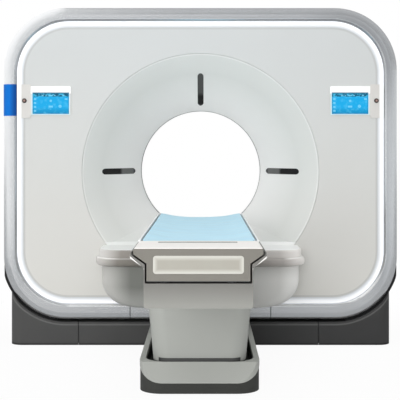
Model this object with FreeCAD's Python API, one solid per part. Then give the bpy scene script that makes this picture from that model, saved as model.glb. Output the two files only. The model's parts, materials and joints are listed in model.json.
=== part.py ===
"""Computed tomography scanner: gantry with a wide bore, and a lifting patient couch.

Millimetres.  X runs across the gantry, Y runs into the bore from the couch side, Z is up.
The origin is on the floor, below the isocentre, in the scan plane.
"""
import FreeCAD, Part
import math
import os

V = FreeCAD.Vector

# ---------------------------------------------------------------- gantry outline
GANTRY_WIDTH = 2210.0
GANTRY_BOTTOM = 140.0
GANTRY_RISE = 922.0         # gantry top above the bore's axis
GANTRY_DEPTH = 940.0
CORNER_RADIUS = 350.0

FRAME_SIDE = 79.0          # face of the silver frame at the sides
FRAME_TOP = 78.0
FRAME_BOTTOM = 92.0
FRAME_DEPTH = 120.0
FRAME_PROUD = 6.0          # how far the frame stands in front of the panel
FRAME_ROUND = 42.0         # outer edge of the frame
FRAME_LIP_ROUND = 16.0     # inner edge of the frame
WINDOW_RADIUS = 292.0      # corner of the frame's inner edge
CENTRE_PIECE = 788.0       # separate middle piece of the frame's bottom run
SEAM = 1.6

LIGHT_BAND = 36.0
PANEL_WALL = 6.0
BACKING_WALL = 5.0
BACKING_REACH = 10.0

COVER_INSET = 8.0
COVER_WALL = 6.0
TOP_SPLIT = 1540.0         # seam between the side covers and the top cover

# ---------------------------------------------------------------- bore and funnels
ISO_HEIGHT = 968.0
BORE_RADIUS = 360.0
LINER_LENGTH = 80.0
LINER_WALL = 5.0
WINDOW_WALL = 4.0
FUNNEL_MARGIN = 74.0       # panel left between the funnel and the frame below it
FUNNEL_DEPTH_SHARE = 0.5   # the belly is the point at this share of the depth
FUNNEL_BELLY_SHARE = 0.39  # how far the belly is from the bore to the mouth
REAR_FUNNEL_SHARE = 0.745  # widening of the rear funnel against the front one
REAR_BELLY_SHARE = 0.355
FUNNEL_SEAM = 2.5
FLANGE_REACH = 26.0

# ---------------------------------------------------------------- deck and chin beside the couch
DECK_HEIGHT = 560.0
DECK_THROAT_ANGLE = 45.0   # where the deck's edge meets the throat, from straight down
LIP_BOTTOM = 517.0
CHIN_REACH = 280.0
LIP_HALF = 548.0
LIP_CORNER = 125.0
LIP_ROUND = 13.0
CHIN_SLOT = 262.0          # half width of the slot for the couch
BOWL_HALF = 534.0
BOWL_TOP = 472.0
BOWL_BOTTOM = 240.0
BOWL_TURN = 396.0          # height where the bowl starts to turn in
BOWL_TURN_WIDTH = 153.0
BOWL_TURN_FRONT = 70.0
BOWL_STEP_COUNT = 6
LEDGE_INSET = 6.0

# ---------------------------------------------------------------- controls
BEZEL_INSET = 268.0         # middle of the control to the gantry's side
BEZEL_Z = 1368.0
BEZEL_WIDTH = 225.0
BEZEL_HEIGHT = 160.0
BEZEL_PROUD = 4.0
BEZEL_CORNER = 8.0
TAB_LOW = 1270.0
TAB_HIGH = 1458.0
SCREEN_WIDTH = 204.0
SCREEN_HEIGHT = 114.0
SCREEN_Z = 1350.0
SCREEN_WALL = 5.0
BUTTON_INSET = 121.0
BUTTON_Z = 1367.0
BUTTON_RADIUS = 9.0
BUTTON_GAP = 0.4
BUTTON_LENGTH = 13.0
BUTTON_TRAVEL = 4.0
COLLAR_RADIUS = 13.0
COLLAR_HEIGHT = 3.0
BADGE_LOW = 1282.0
BADGE_HIGH = 1459.0
BADGE_WALL = 2.0
FIT = 0.3                  # gap between pieces that seat on each other

# ---------------------------------------------------------------- laser windows in the funnel
LASER_WIDTH = 34.0
LASER_NEAR = 561.0         # funnel radius at the window's outer end
LASER_FAR = 379.0          # funnel radius at its inner end
LASER_WALL = 3.0

# ---------------------------------------------------------------- gantry base
BASE_INSET = 38.0          # base cover inside the gantry's side
BASE_CORNER = 68.0
BASE_GAP = 12.5            # shadow gap under the frame
BASE_WALL = 6.0
BASE_EDGE = 8.0
BASE_SEAM_LEFT = -683.0
BASE_SEAM_RIGHT = 661.0
STEEL_INSET = 67.0         # floor frame inside the base cover
STEEL_SETBACK = 50.0       # floor frame behind the gantry's front
STEEL_HEIGHT = 90.0
BEAM_WIDTH = 150.0
ANCHOR_RADIUS = 11.0
LUG_WIDTH = 80.0           # lugs that carry the base covers
LUG_LOW = 25.0
LUG_HEIGHT = 40.0
PILLAR_X = 560.0
PILLAR_WIDTH = 170.0
PILLAR_DEPTH = 200.0
PILLAR_RISE = 160.0        # pillar top above the gantry's bottom
PILLAR_GAP = 6.0

# ---------------------------------------------------------------- stator and rotor
STATOR_FRONT = 140.0
STATOR_THICK = 75.0
BEARING_SPLIT = 515.0      # radius of the running gap in the bearing
BEARING_RING = 35.0
BEARING_WIDTH = 62.0
RUNNING_GAP = 0.5
HUB_WALL = 35.0
DISC_MARGIN = 93.0         # disc above the gantry's bottom
DISC_FRONT = 75.0
DISC_THICK = 30.0
RIM_WALL = 26.0
RIM_DEPTH = 28.0
COIL_DEPTH = 30.0
COIL_BAND = 25.0           # stator beyond the disc
COIL_COUNT = 36
DISC_EDGE = 40.0           # disc outside the slip ring and the modules
SLIP_INNER = 570.0
SLIP_THICK = 9.0
FOCUS_RADIUS = 570.0
TUBE_RADIUS = 105.0
TUBE_LENGTH = 250.0
DETECTOR_DISTANCE = 1045.0
DETECTOR_THICK = 75.0
DETECTOR_WIDTH = 120.0
DETECTOR_HALF_ANGLE = 25.0
MODULE_IN = 485.0
MODULE_HALF = 150.0
MODULE_DEPTH = 200.0
CABINET_CLEAR = 111.0      # cabinet to side cover
CABINET_SPACE = 30.0       # cabinet to stator ring
CABINET_HEIGHT = 585.0
CABINET_DEPTH = 190.0
WEIGHT_RADIUS = 575.0
WEIGHT_HALF = 70.0
WEIGHT_ANGLE = 62.0
FAN_SIZE = 170.0
FAN_HEIGHT = 70.0
FAN_X = 320.0
ARM_LOW = 112.0            # cover bracket above the bore's axis
ARM_HIGH = 172.0
TRACK_COUNT = 4
TRACK_SHARE = 0.512        # groove width against the pitch of the tracks
RIB_COUNT = 12

# ---------------------------------------------------------------- couch
COUCH_FRONT = -2450.0
HOUSING_REAR = -530.0
CRADLE_REAR = -470.0
CAP_TOP = 736.0
CAP_HALF = 234.0
CAP_TOP_ROUND = 9.0
CAP_SIDE = 22.0            # short upright edge under the cap's top
CAP_NECK = 186.0           # half width below the chamfer
CAP_CHAMFER_LOW = 680.0
CAP_BOTTOM = 615.0
CAP_LENGTH = 285.0
CAP_WALL = 12.0
CAP_GAP = 6.5              # dark gap between cap and housing
HOUSING_WALL = 4.0
HOUSING_BOTTOM = 519.0
HOUSING_CORNER = 10.0
HOUSING_LIP = 5.0          # how far the housing's lip rises past the chamfer
HOUSING_FLARE = 8.0        # extra wall under the chamfer
PANEL_WIDTH = 326.0
PANEL_LOW = 643.0
PANEL_HIGH = 708.0
PANEL_CORNER = 11.0
GROOVE_BACK = 255.0
GROOVE_LENGTH = 303.0
GROOVE_WIDTH = 8.0
GROOVE_DEPTH = 5.0

CRADLE_HALF = 234.0
CRADLE_RIM = 740.0
CRADLE_RIM_FOOT = 712.0
CRADLE_FLOOR = 698.0       # top of the shell at its middle
CRADLE_SAG = 26.0
CRADLE_WALL = 14.0
PAD_HALF = 225.0
PAD_WAIST = 223.0          # half width where the long sides draw in
PAD_SAG = 17.0
PAD_THICK = 21.0           # foam at the middle
PAD_EDGE = 6.0
PAD_CORNER = 30.0

RAIL_X = 123.0
RAIL_WIDTH = 20.0
RAIL_HEIGHT = 18.0
GROOVE_CLEAR = 9.0
RAIL_FLOOR = 590.0
CARRIAGE_LENGTH = 460.0
CARRIAGE_START = 60.0
CARRIAGE_HALF = 150.0
CARRIAGE_PLATE = 12.0
RUNNER_LENGTH = 90.0

COLUMN_FRONT = -1510.0
COLUMN_REAR = -800.0
COLUMN_BOTTOM = 127.0
COLUMN_FOOT_HALF = 213.0
COLUMN_WAIST = 400.0
COLUMN_WAIST_HALF = 239.0
COLUMN_CORNER = 80.0
COLUMN_WALL = 4.0
CUTOUT_HALF = 186.0
CUTOUT_HEIGHT = 18.0

SHROUD_HALF = 202.0
SHROUD_TOP = 480.0
SHROUD_GAP = 8.0

COUCH_BASE_HALF = 273.0
COUCH_BASE_FRONT = -1584.0
COUCH_BASE_CORNER = 105.0
SKIRT_HEIGHT = 47.0         # top of the dark foot in front
SKIRT_SIDE = 118.0         # top of the dark foot along the sides
SKIRT_RUN = 100.0          # length over which it climbs
SKIRT_ROUND = 90.0
SKIRT_INSET = 2.0
RIM_TOP = 135.0
RIM_SIDE = 25.0
RIM_FRONT = 52.0
WELL_CORNER = 95.0
WELL_REAR_GAP = 14.0
COUCH_ANCHOR_X = 150.0
COUCH_ANCHOR_Y = 260.0
COUCH_ANCHOR_RADIUS = 9.0

POST_X = 120.0
POST_RADIUS = 20.0
SLEEVE_WALL = 9.0
SLEEVE_BOTTOM = 100.0
ROD_RADIUS = 24.0
CYLINDER_WALL = 9.0
CYLINDER_TOP = 430.0
ROD_BOTTOM = 120.0
COUCH_MID = (COLUMN_FRONT + COLUMN_REAR) / 2

# ---------------------------------------------------------------- places worked out from them
HALF = GANTRY_WIDTH / 2
GANTRY_TOP = ISO_HEIGHT + GANTRY_RISE
FUNNEL_RADIUS = ISO_HEIGHT - GANTRY_BOTTOM - FRAME_BOTTOM - FUNNEL_MARGIN
FUNNEL_BELLY = BORE_RADIUS + (FUNNEL_RADIUS - BORE_RADIUS) * FUNNEL_BELLY_SHARE
REAR_FUNNEL_RADIUS = BORE_RADIUS + (FUNNEL_RADIUS - BORE_RADIUS) * REAR_FUNNEL_SHARE
REAR_FUNNEL_BELLY = BORE_RADIUS + (REAR_FUNNEL_RADIUS - BORE_RADIUS) * REAR_BELLY_SHARE
BEZEL_X = HALF - BEZEL_INSET
BUTTON_X = HALF - BUTTON_INSET
BASE_HALF = HALF - BASE_INSET
STEEL_HALF = BASE_HALF - STEEL_INSET
STEEL_DEPTH = GANTRY_DEPTH - 2 * STEEL_SETBACK
ANCHOR_X = STEEL_HALF - BEAM_WIDTH / 2
ANCHOR_Y = STEEL_DEPTH / 2 - BEAM_WIDTH / 2
PILLAR_TOP = GANTRY_BOTTOM + PILLAR_RISE
DISC_RADIUS = ISO_HEIGHT - GANTRY_BOTTOM - DISC_MARGIN
STATOR_RADIUS = DISC_RADIUS + COIL_BAND
SLIP_OUTER = DISC_RADIUS - DISC_EDGE
MODULE_OUT = DISC_RADIUS - DISC_EDGE
CABINET_X = STATOR_RADIUS + CABINET_SPACE
CABINET_WIDTH = HALF - COVER_INSET - COVER_WALL - CABINET_CLEAR - CABINET_X
PILLAR_Y = STATOR_FRONT + STATOR_THICK / 2
FRONT = -GANTRY_DEPTH / 2
REAR = GANTRY_DEPTH / 2
FRAME_BACK = FRONT + FRAME_DEPTH
PANEL_BACK = FRONT + PANEL_WALL
WINDOW_HALF = HALF - FRAME_SIDE
WINDOW_LOW = GANTRY_BOTTOM + FRAME_BOTTOM
WINDOW_HIGH = GANTRY_TOP - FRAME_TOP
THROAT_FRONT = -LINER_LENGTH / 2
CHIN_FRONT = FRONT - CHIN_REACH
HUB_OUTER = BEARING_SPLIT - BEARING_RING
STATOR_BORE = BEARING_SPLIT + BEARING_RING
DISC_BACK = DISC_FRONT + DISC_THICK
CRADLE_FRONT = COUCH_FRONT + CAP_LENGTH


# ================================================================ drawing helpers
def front_plane(y):
    """Places a drawn point (across, up) in the upright plane at y."""
    return lambda u, v: V(u, y, v)


def plan_plane(z):
    """Places a drawn point (across, along) in the level plane at z."""
    return lambda u, v: V(u, v, z)


def side_plane(x):
    """Places a drawn point (along, up) in the upright plane at x."""
    return lambda u, v: V(x, u, v)


def rounded_wire(corners, place):
    """Closed wire through corners (u, v, radius), with a tangent arc at each radius."""
    spans = []
    for i, (u, v, radius) in enumerate(corners):
        here = V(u, v, 0)
        before = corners[i - 1]
        after = corners[(i + 1) % len(corners)]
        back = (V(before[0], before[1], 0) - here).normalize()
        ahead = (V(after[0], after[1], 0) - here).normalize()
        if radius <= 0:
            spans.append((here, None, here))
            continue
        half = back.getAngle(ahead) / 2
        run = radius / math.tan(half)
        inward = (back + ahead).normalize()
        middle = here + inward * (radius / math.sin(half) - radius)
        spans.append((here + back * run, middle, here + ahead * run))
    edges = []
    for i, (start, middle, stop) in enumerate(spans):
        if middle is not None:
            arc = Part.Arc(place(start.x, start.y), place(middle.x, middle.y), place(stop.x, stop.y))
            edges.append(arc.toShape())
        following = spans[(i + 1) % len(spans)][0]
        if (following - stop).Length > 1e-6:
            line = Part.LineSegment(place(stop.x, stop.y), place(following.x, following.y))
            edges.append(line.toShape())
    return Part.Wire(edges)


def rectangle(u0, u1, v0, v1, radius=0.0):
    """The four corners of a rectangle, all with one radius."""
    return [(u0, v0, radius), (u1, v0, radius), (u1, v1, radius), (u0, v1, radius)]


def front_prism(corners, y0, y1):
    """A front outline (across, up) carried from y0 to y1."""
    return Part.Face(rounded_wire(corners, front_plane(y0))).extrude(V(0, y1 - y0, 0))


def plan_prism(corners, z0, z1):
    """A plan outline (across, along) carried from z0 to z1."""
    return Part.Face(rounded_wire(corners, plan_plane(z0))).extrude(V(0, 0, z1 - z0))


def side_prism(corners, x0, x1):
    """A side outline (along, up) carried from x0 to x1."""
    return Part.Face(rounded_wire(corners, side_plane(x0))).extrude(V(x1 - x0, 0, 0))


def block(x0, x1, y0, y1, z0, z1):
    """A plain box between two corners."""
    return Part.makeBox(x1 - x0, y1 - y0, z1 - z0, V(x0, y0, z0))


def turned(corners):
    """A solid turned about the bore's axis, from corners (radius, y, corner radius)."""
    place = lambda r, y: V(0, y, ISO_HEIGHT + r)
    face = Part.Face(rounded_wire(corners, place))
    return face.revolve(V(0, 0, ISO_HEIGHT), V(0, 1, 0), 360)


def bore_ring(inner, outer, y0, y1):
    """A plain ring about the bore's axis."""
    return turned([(inner, y0, 0), (outer, y0, 0), (outer, y1, 0), (inner, y1, 0)])


def upright(x, y, radius, z0, z1):
    """An upright round bar."""
    return Part.makeCylinder(radius, z1 - z0, V(x, y, z0))


def along(x, z, radius, y0, y1):
    """A round bar along Y."""
    return Part.makeCylinder(radius, y1 - y0, V(x, y0, z), V(0, 1, 0))


def mirrored(shape):
    """The same shape on the other side of the centre plane."""
    return shape.mirror(V(0, 0, 0), V(1, 0, 0))


def turned_round(shape):
    """The same shape on the back of the gantry."""
    return shape.mirror(V(0, 0, 0), V(0, 1, 0))


def edges_where(shape, test):
    """The edges whose every sampled point passes a test."""
    picked = []
    for edge in shape.Edges:
        points = edge.discretize(5)
        if all(test(p) for p in points):
            picked.append(edge)
    return picked


def clean(shape):
    """One tidy solid or group, with faces that lie on one surface joined."""
    shape = shape.removeSplitter()
    return shape.Solids[0] if len(shape.Solids) == 1 else shape


def export(node, shape):
    """Writes one node."""
    shape.exportStep(os.path.join("parts", node + ".step"))


# ================================================================ gantry covers
def frame_outline(grow=0.0):
    """Outer outline of the gantry, grown all round."""
    return rectangle(-HALF - grow, HALF + grow, GANTRY_BOTTOM - grow, GANTRY_TOP + grow,
                     CORNER_RADIUS + grow)


def window_outline(shrink=0.0):
    """Inner edge of the frame, shrunk all round."""
    return rectangle(-WINDOW_HALF + shrink, WINDOW_HALF - shrink, WINDOW_LOW + shrink,
                     WINDOW_HIGH - shrink, WINDOW_RADIUS - shrink)


def frame_body(grow=0.0):
    """The bulging frame: a rounded rectangle ring with both front edges rolled over."""
    front = FRONT - FRAME_PROUD - grow
    solid = front_prism(frame_outline(grow), front, FRAME_BACK)
    solid = solid.cut(front_prism(window_outline(grow), front - 1, FRAME_BACK + 1))
    at_front = lambda p: abs(p.y - front) < 1e-3
    inside = lambda p: abs(p.x) < WINDOW_HALF + 1 and WINDOW_LOW - 1 < p.z < WINDOW_HIGH + 1
    outer = edges_where(solid, lambda p: at_front(p) and not inside(p))
    solid = solid.makeFillet(FRAME_ROUND + grow, outer)
    inner = edges_where(solid, lambda p: at_front(p) and inside(p))
    return solid.makeFillet(FRAME_LIP_ROUND + grow, inner)


def frame_with_backing():
    """The frame with the backing lip that carries the light band and the panel."""
    lip = front_prism(window_outline(-FIT), PANEL_BACK, PANEL_BACK + BACKING_WALL)
    opening = window_outline(LIGHT_BAND + BACKING_REACH)
    lip = lip.cut(front_prism(opening, PANEL_BACK - 1, PANEL_BACK + BACKING_WALL + 1))
    return clean(frame_body().fuse(lip))


def centre_cut(half):
    """The stretch of the frame's bottom run that is a piece of its own."""
    return block(-half, half, FRONT - FRAME_PROUD - 5, FRAME_BACK + 5,
                 GANTRY_BOTTOM - 5, WINDOW_LOW - FIT)


def make_front_frame(body):
    return body.cut(centre_cut(CENTRE_PIECE / 2 + SEAM / 2))


def make_centre_piece(body):
    return body.common(centre_cut(CENTRE_PIECE / 2 - SEAM / 2))


def make_light_band():
    """The glowing band round the panel, broken by the two control tabs."""
    band = front_prism(window_outline(FIT), FRONT, PANEL_BACK)
    band = band.cut(front_prism(window_outline(LIGHT_BAND), FRONT - 2, PANEL_BACK + 1))
    for side in (-1, 1):
        x = sorted((side * (WINDOW_HALF - LIGHT_BAND - 10), side * (WINDOW_HALF + 10)))
        band = band.cut(block(x[0], x[1], FRONT - 5, PANEL_BACK + 5, TAB_LOW - FIT, TAB_HIGH + FIT))
    return band


def bezel_outline(grow=0.0):
    """Outline of the right control bezel: a plate with a taller tab at its outer end."""
    left = BEZEL_X - BEZEL_WIDTH / 2 - grow
    step = BEZEL_X + BEZEL_WIDTH / 2 - grow
    right = WINDOW_HALF - FIT + grow
    low = BEZEL_Z - BEZEL_HEIGHT / 2 - grow
    high = BEZEL_Z + BEZEL_HEIGHT / 2 + grow
    turn = BEZEL_CORNER + grow
    return [(left, low, turn), (step, low, 0), (step, TAB_LOW - grow, 0), (right, TAB_LOW - grow, 0),
            (right, TAB_HIGH + grow, 0), (step, TAB_HIGH + grow, 0), (step, high, 0), (left, high, turn)]


def make_front_panel():
    """The flat panel with its round opening and the cut-outs for the controls."""
    panel = front_prism(window_outline(LIGHT_BAND + FIT), FRONT, PANEL_BACK)
    hole = along(0, ISO_HEIGHT, FUNNEL_RADIUS + FUNNEL_SEAM, FRONT - 1, PANEL_BACK + 1)
    panel = panel.cut(hole)
    notch = front_prism(bezel_outline(FIT), FRONT - 1, PANEL_BACK + 1)
    return panel.cut(notch).cut(mirrored(notch))


def screen_outline(grow=0.0):
    half = SCREEN_WIDTH / 2 + grow
    rise = SCREEN_HEIGHT / 2 + grow
    return rectangle(BEZEL_X - half, BEZEL_X + half, SCREEN_Z - rise, SCREEN_Z + rise, 3.0 + grow)


def make_bezel():
    """Control bezel of the right side, with the screen's recess and the button's hole."""
    front = FRONT - BEZEL_PROUD
    bezel = front_prism(bezel_outline(), front, PANEL_BACK)
    bezel = bezel.cut(front_prism(screen_outline(FIT), front - 1, front + 1 + SCREEN_WALL))
    return bezel.cut(along(BUTTON_X, BUTTON_Z, BUTTON_RADIUS + BUTTON_GAP, front - 1, PANEL_BACK + 1))


def make_screen():
    front = FRONT - BEZEL_PROUD + 1
    return front_prism(screen_outline(), front, front + SCREEN_WALL)


def make_collar():
    front = FRONT - BEZEL_PROUD
    ring = along(BUTTON_X, BUTTON_Z, COLLAR_RADIUS, front - COLLAR_HEIGHT, front)
    return ring.cut(along(BUTTON_X, BUTTON_Z, BUTTON_RADIUS + BUTTON_GAP, front - 10, front + 1))


def make_button():
    """Stop button with a domed face."""
    back = FRONT - BEZEL_PROUD + 5
    front = back - BUTTON_LENGTH
    cap = along(BUTTON_X, BUTTON_Z, BUTTON_RADIUS, front, back)
    rim = edges_where(cap, lambda p: abs(p.y - front) < 1e-3)
    return cap.makeFillet(2.0, rim)


def make_badge_plate():
    """Plain plate wrapped round the frame's left run."""
    skin = frame_body(FIT + BADGE_WALL).cut(frame_body(FIT))
    stretch = block(-HALF - 20, -WINDOW_HALF - 2, FRONT - 30, FRONT + 60, BADGE_LOW, BADGE_HIGH)
    return skin.common(stretch)


# ================================================================ funnels and liner
def arc_centre(a, b, c):
    """Centre of the circle through three drawn points."""
    d = 2 * (a[0] * (b[1] - c[1]) + b[0] * (c[1] - a[1]) + c[0] * (a[1] - b[1]))
    sa, sb, sc = (p[0] ** 2 + p[1] ** 2 for p in (a, b, c))
    x = (sa * (b[1] - c[1]) + sb * (c[1] - a[1]) + sc * (a[1] - b[1])) / d
    y = (sa * (c[0] - b[0]) + sb * (a[0] - c[0]) + sc * (b[0] - a[0])) / d
    return x, y


def funnel_points(mouth, belly):
    """Mouth, belly and throat points (radius, y) of a front funnel."""
    depth = THROAT_FRONT - FRONT
    return (mouth, FRONT), (belly, FRONT + depth * FUNNEL_DEPTH_SHARE), (BORE_RADIUS, THROAT_FRONT)


def funnel_arc(mouth, belly, inset=0.0):
    """The funnel's arc as three points, moved into the gantry by inset."""
    a, b, c = funnel_points(mouth, belly)
    cx, cy = arc_centre(a, b, c)
    radius = math.hypot(a[0] - cx, a[1] - cy)
    k = (radius - inset) / radius
    return [(cx + (p[0] - cx) * k, cy + (p[1] - cy) * k) for p in (a, b, c)]


def funnel_radius(mouth, belly, y):
    """Radius of the funnel's surface at y."""
    a, b, c = funnel_points(mouth, belly)
    cx, cy = arc_centre(a, b, c)
    radius = math.hypot(a[0] - cx, a[1] - cy)
    return cx - math.sqrt(radius ** 2 - (y - cy) ** 2)


def turned_between(near, far):
    """Solid turned about the bore from the band between two arcs."""
    place = lambda p: V(0, p[1], ISO_HEIGHT + p[0])
    edges = [Part.Arc(*[place(p) for p in near]).toShape(),
             Part.LineSegment(place(near[2]), place(far[2])).toShape(),
             Part.Arc(*[place(p) for p in far[::-1]]).toShape(),
             Part.LineSegment(place(far[0]), place(near[0])).toShape()]
    return Part.Face(Part.Wire(edges)).revolve(V(0, 0, ISO_HEIGHT), V(0, 1, 0), 360)


def funnel_void(mouth, belly):
    """The free space inside the funnel, with the plane of its mouth as its front."""
    arc = funnel_arc(mouth, belly)
    place = lambda p: V(0, p[1], ISO_HEIGHT + p[0])
    edges = [Part.Arc(*[place(p) for p in arc]).toShape(),
             Part.LineSegment(place(arc[2]), place((0, THROAT_FRONT))).toShape(),
             Part.LineSegment(place((0, THROAT_FRONT)), place((0, FRONT))).toShape(),
             Part.LineSegment(place((0, FRONT)), place(arc[0])).toShape()]
    return Part.Face(Part.Wire(edges)).revolve(V(0, 0, ISO_HEIGHT), V(0, 1, 0), 360)


def funnel_shell(mouth, belly):
    """Funnel wall with the flange that sits behind the panel."""
    shell = turned_between(funnel_arc(mouth, belly), funnel_arc(mouth, belly, LINER_WALL))
    shell = shell.common(along(0, ISO_HEIGHT, mouth + FLANGE_REACH, FRONT, THROAT_FRONT))
    shell = shell.cut(bore_ring(mouth, mouth + FLANGE_REACH + 1, FRONT - 1, PANEL_BACK + FIT))
    inner = funnel_radius(mouth, belly, PANEL_BACK + FIT) + 1
    flange = bore_ring(inner, mouth + FLANGE_REACH, PANEL_BACK + FIT, PANEL_BACK + FIT + LINER_WALL)
    return shell.fuse(flange)


def deck_section(y, radius, angle, bottom):
    """Section of the space above the deck: a low arc between two points of a circle."""
    turn = math.radians(angle)
    x = radius * math.sin(turn)
    z = ISO_HEIGHT - radius * math.cos(turn)
    half = math.radians((angle + 90) / 2)
    flank_x = radius * math.sin(half)
    flank_z = ISO_HEIGHT - radius * math.cos(half)
    place = front_plane(y)
    edges = [Part.Arc(place(-x, z), place(0, bottom), place(x, z)).toShape(),
             Part.Arc(place(x, z), place(flank_x, flank_z), place(radius, ISO_HEIGHT)).toShape(),
             Part.LineSegment(place(radius, ISO_HEIGHT), place(-radius, ISO_HEIGHT)).toShape(),
             Part.Arc(place(-radius, ISO_HEIGHT), place(-flank_x, flank_z), place(-x, z)).toShape()]
    return Part.Wire(edges)


def deck_fill():
    """Solid under the deck: a chute that is flat in front and follows the bore at the throat."""
    clear = 14.0
    drop = 0.6
    mouth = FUNNEL_RADIUS + clear
    mouth_angle = math.degrees(math.acos((ISO_HEIGHT - DECK_HEIGHT - drop) / mouth))
    middle_y = (FRONT + THROAT_FRONT) / 2
    middle = funnel_radius(FUNNEL_RADIUS, FUNNEL_BELLY, middle_y) + clear
    middle_angle = (mouth_angle + DECK_THROAT_ANGLE) / 2
    throat_bottom = ISO_HEIGHT - BORE_RADIUS
    middle_bottom = (DECK_HEIGHT + throat_bottom) / 2 + 3
    space = Part.makeLoft([deck_section(FRONT, mouth, mouth_angle, DECK_HEIGHT),
                           deck_section(middle_y, middle, middle_angle, middle_bottom),
                           deck_section(THROAT_FRONT, BORE_RADIUS + clear, DECK_THROAT_ANGLE,
                                        throat_bottom)], True, False)
    below = block(-FUNNEL_RADIUS, FUNNEL_RADIUS, FRONT, THROAT_FRONT,
                  ISO_HEIGHT - FUNNEL_RADIUS - 20, ISO_HEIGHT - 1)
    fill = below.cut(space)
    return fill.common(funnel_void(FUNNEL_RADIUS, FUNNEL_BELLY))


def plan_lobe(half, front, corner):
    """Plan outline of the right lobe, from the slot out to its rounded front corner."""
    return [(CHIN_SLOT, FRONT, 0), (CHIN_SLOT, front, 0), (half, front, corner), (half, FRONT, 0)]


def make_lip():
    """Right half of the shelf round the couch, level with the deck."""
    lobe = plan_prism(plan_lobe(LIP_HALF, CHIN_FRONT, LIP_CORNER), LIP_BOTTOM, DECK_HEIGHT)
    top = lambda p: abs(p.z - DECK_HEIGHT) < 1e-3
    outer = lambda p: p.y < FRONT - 1e-3 and p.x > CHIN_SLOT + 1e-3
    rim = [e for e in edges_where(lobe, top)
           if outer(e.valueAt((e.FirstParameter + e.LastParameter) / 2))]
    return lobe.makeFillet(LIP_ROUND, rim)


def make_front_funnel():
    """Funnel, deck and shelf in one moulding, with the three laser slots."""
    shell = funnel_shell(FUNNEL_RADIUS, FUNNEL_BELLY)
    body = shell.fuse(deck_fill())
    lip = make_lip()
    body = body.fuse(lip).fuse(mirrored(lip))
    for slot in laser_prisms(FIT):
        body = body.cut(slot)
    return clean(body)


def laser_prisms(grow):
    """Round-ended slots that look out radially: top, left and right."""
    half = LASER_WIDTH / 2 + grow
    near = LASER_NEAR + grow
    far = LASER_FAR - grow
    reach = 400.0
    corners = rectangle(-half, half, far, near, half - 0.01)
    top = Part.Face(rounded_wire(corners, lambda u, v: V(u, FRONT - 50, ISO_HEIGHT + v)))
    top = top.extrude(V(0, reach, 0))
    prisms = []
    for angle in (0, 90, -90):
        prism = top.copy()
        prism.rotate(V(0, 0, ISO_HEIGHT), V(0, 1, 0), angle)
        prisms.append(prism)
    return prisms


def make_laser_windows():
    """Three dark windows, set a little into the funnel's surface."""
    near = funnel_arc(FUNNEL_RADIUS, FUNNEL_BELLY, 1.0)
    far = funnel_arc(FUNNEL_RADIUS, FUNNEL_BELLY, 1.0 + LASER_WALL)
    skin = turned_between(near, far)
    return Part.makeCompound([skin.common(prism) for prism in laser_prisms(0)])


def make_rear_funnel():
    return turned_round(funnel_shell(REAR_FUNNEL_RADIUS, REAR_FUNNEL_BELLY))


def make_scan_window():
    """Clear ring between the two funnels, where the beam passes."""
    half = LINER_LENGTH / 2 - FIT
    return bore_ring(BORE_RADIUS, BORE_RADIUS + WINDOW_WALL, -half, half)


def make_bowl():
    """Right lower chin cover: a bowl that turns in below, with a ledge under the shelf."""
    sections = []
    for i in range(BOWL_STEP_COUNT + 1):
        turn = math.radians(90 * (1 - i / BOWL_STEP_COUNT))
        z = BOWL_TURN - (BOWL_TURN - BOWL_BOTTOM) * math.sin(turn)
        half = BOWL_HALF - BOWL_TURN_WIDTH * (1 - math.cos(turn))
        front = CHIN_FRONT + LEDGE_INSET + 6 + BOWL_TURN_FRONT * (1 - math.cos(turn))
        sections.append(rounded_wire(plan_lobe(half, front, LIP_CORNER - 15), plan_plane(z)))
    bowl = Part.makeLoft(sections, True, False)
    wall = plan_lobe(BOWL_HALF, CHIN_FRONT + LEDGE_INSET + 6, LIP_CORNER - 15)
    wall = plan_prism(wall, BOWL_TURN, BOWL_TOP)
    ledge = plan_lobe(LIP_HALF - LEDGE_INSET, CHIN_FRONT + LEDGE_INSET, LIP_CORNER - LEDGE_INSET)
    ledge = plan_prism(ledge, BOWL_TOP, LIP_BOTTOM)
    return clean(bowl.fuse(wall).fuse(ledge))


def make_rear_panel():
    panel = front_prism(window_outline(FIT), FRONT, PANEL_BACK)
    hole = along(0, ISO_HEIGHT, REAR_FUNNEL_RADIUS + FUNNEL_SEAM, FRONT - 1, PANEL_BACK + 1)
    return turned_round(panel.cut(hole))


# ================================================================ side, top and belly covers
def cover_ring():
    """Wrap-round cover between the two frames, before it is divided."""
    ring = front_prism(frame_outline(-COVER_INSET), FRAME_BACK, -FRAME_BACK)
    hollow = front_prism(frame_outline(-COVER_INSET - COVER_WALL), FRAME_BACK - 1, -FRAME_BACK + 1)
    return ring.cut(hollow)


def pillar_hole():
    """Opening for the right pillar in the covers below the gantry."""
    half = PILLAR_WIDTH / 2 + PILLAR_GAP
    reach = PILLAR_DEPTH / 2 + PILLAR_GAP
    return block(PILLAR_X - half, PILLAR_X + half, PILLAR_Y - reach, PILLAR_Y + reach,
                 STEEL_HEIGHT, GANTRY_BOTTOM + 100)


def make_top_cover(ring):
    return ring.common(block(-HALF, HALF, -HALF, HALF, TOP_SPLIT + SEAM / 2, GANTRY_TOP + 10))


def make_side_cover(ring):
    """Right side cover, with the opening for its pillar."""
    cover = ring.common(block(CENTRE_PIECE / 2 + SEAM / 2, HALF + 10, -HALF, HALF,
                              GANTRY_BOTTOM - 10, TOP_SPLIT - SEAM / 2))
    return cover.cut(pillar_hole())


def make_belly_cover(ring):
    half = CENTRE_PIECE / 2 - SEAM / 2
    return ring.common(block(-half, half, -HALF, HALF, GANTRY_BOTTOM - 10, ISO_HEIGHT))


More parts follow.
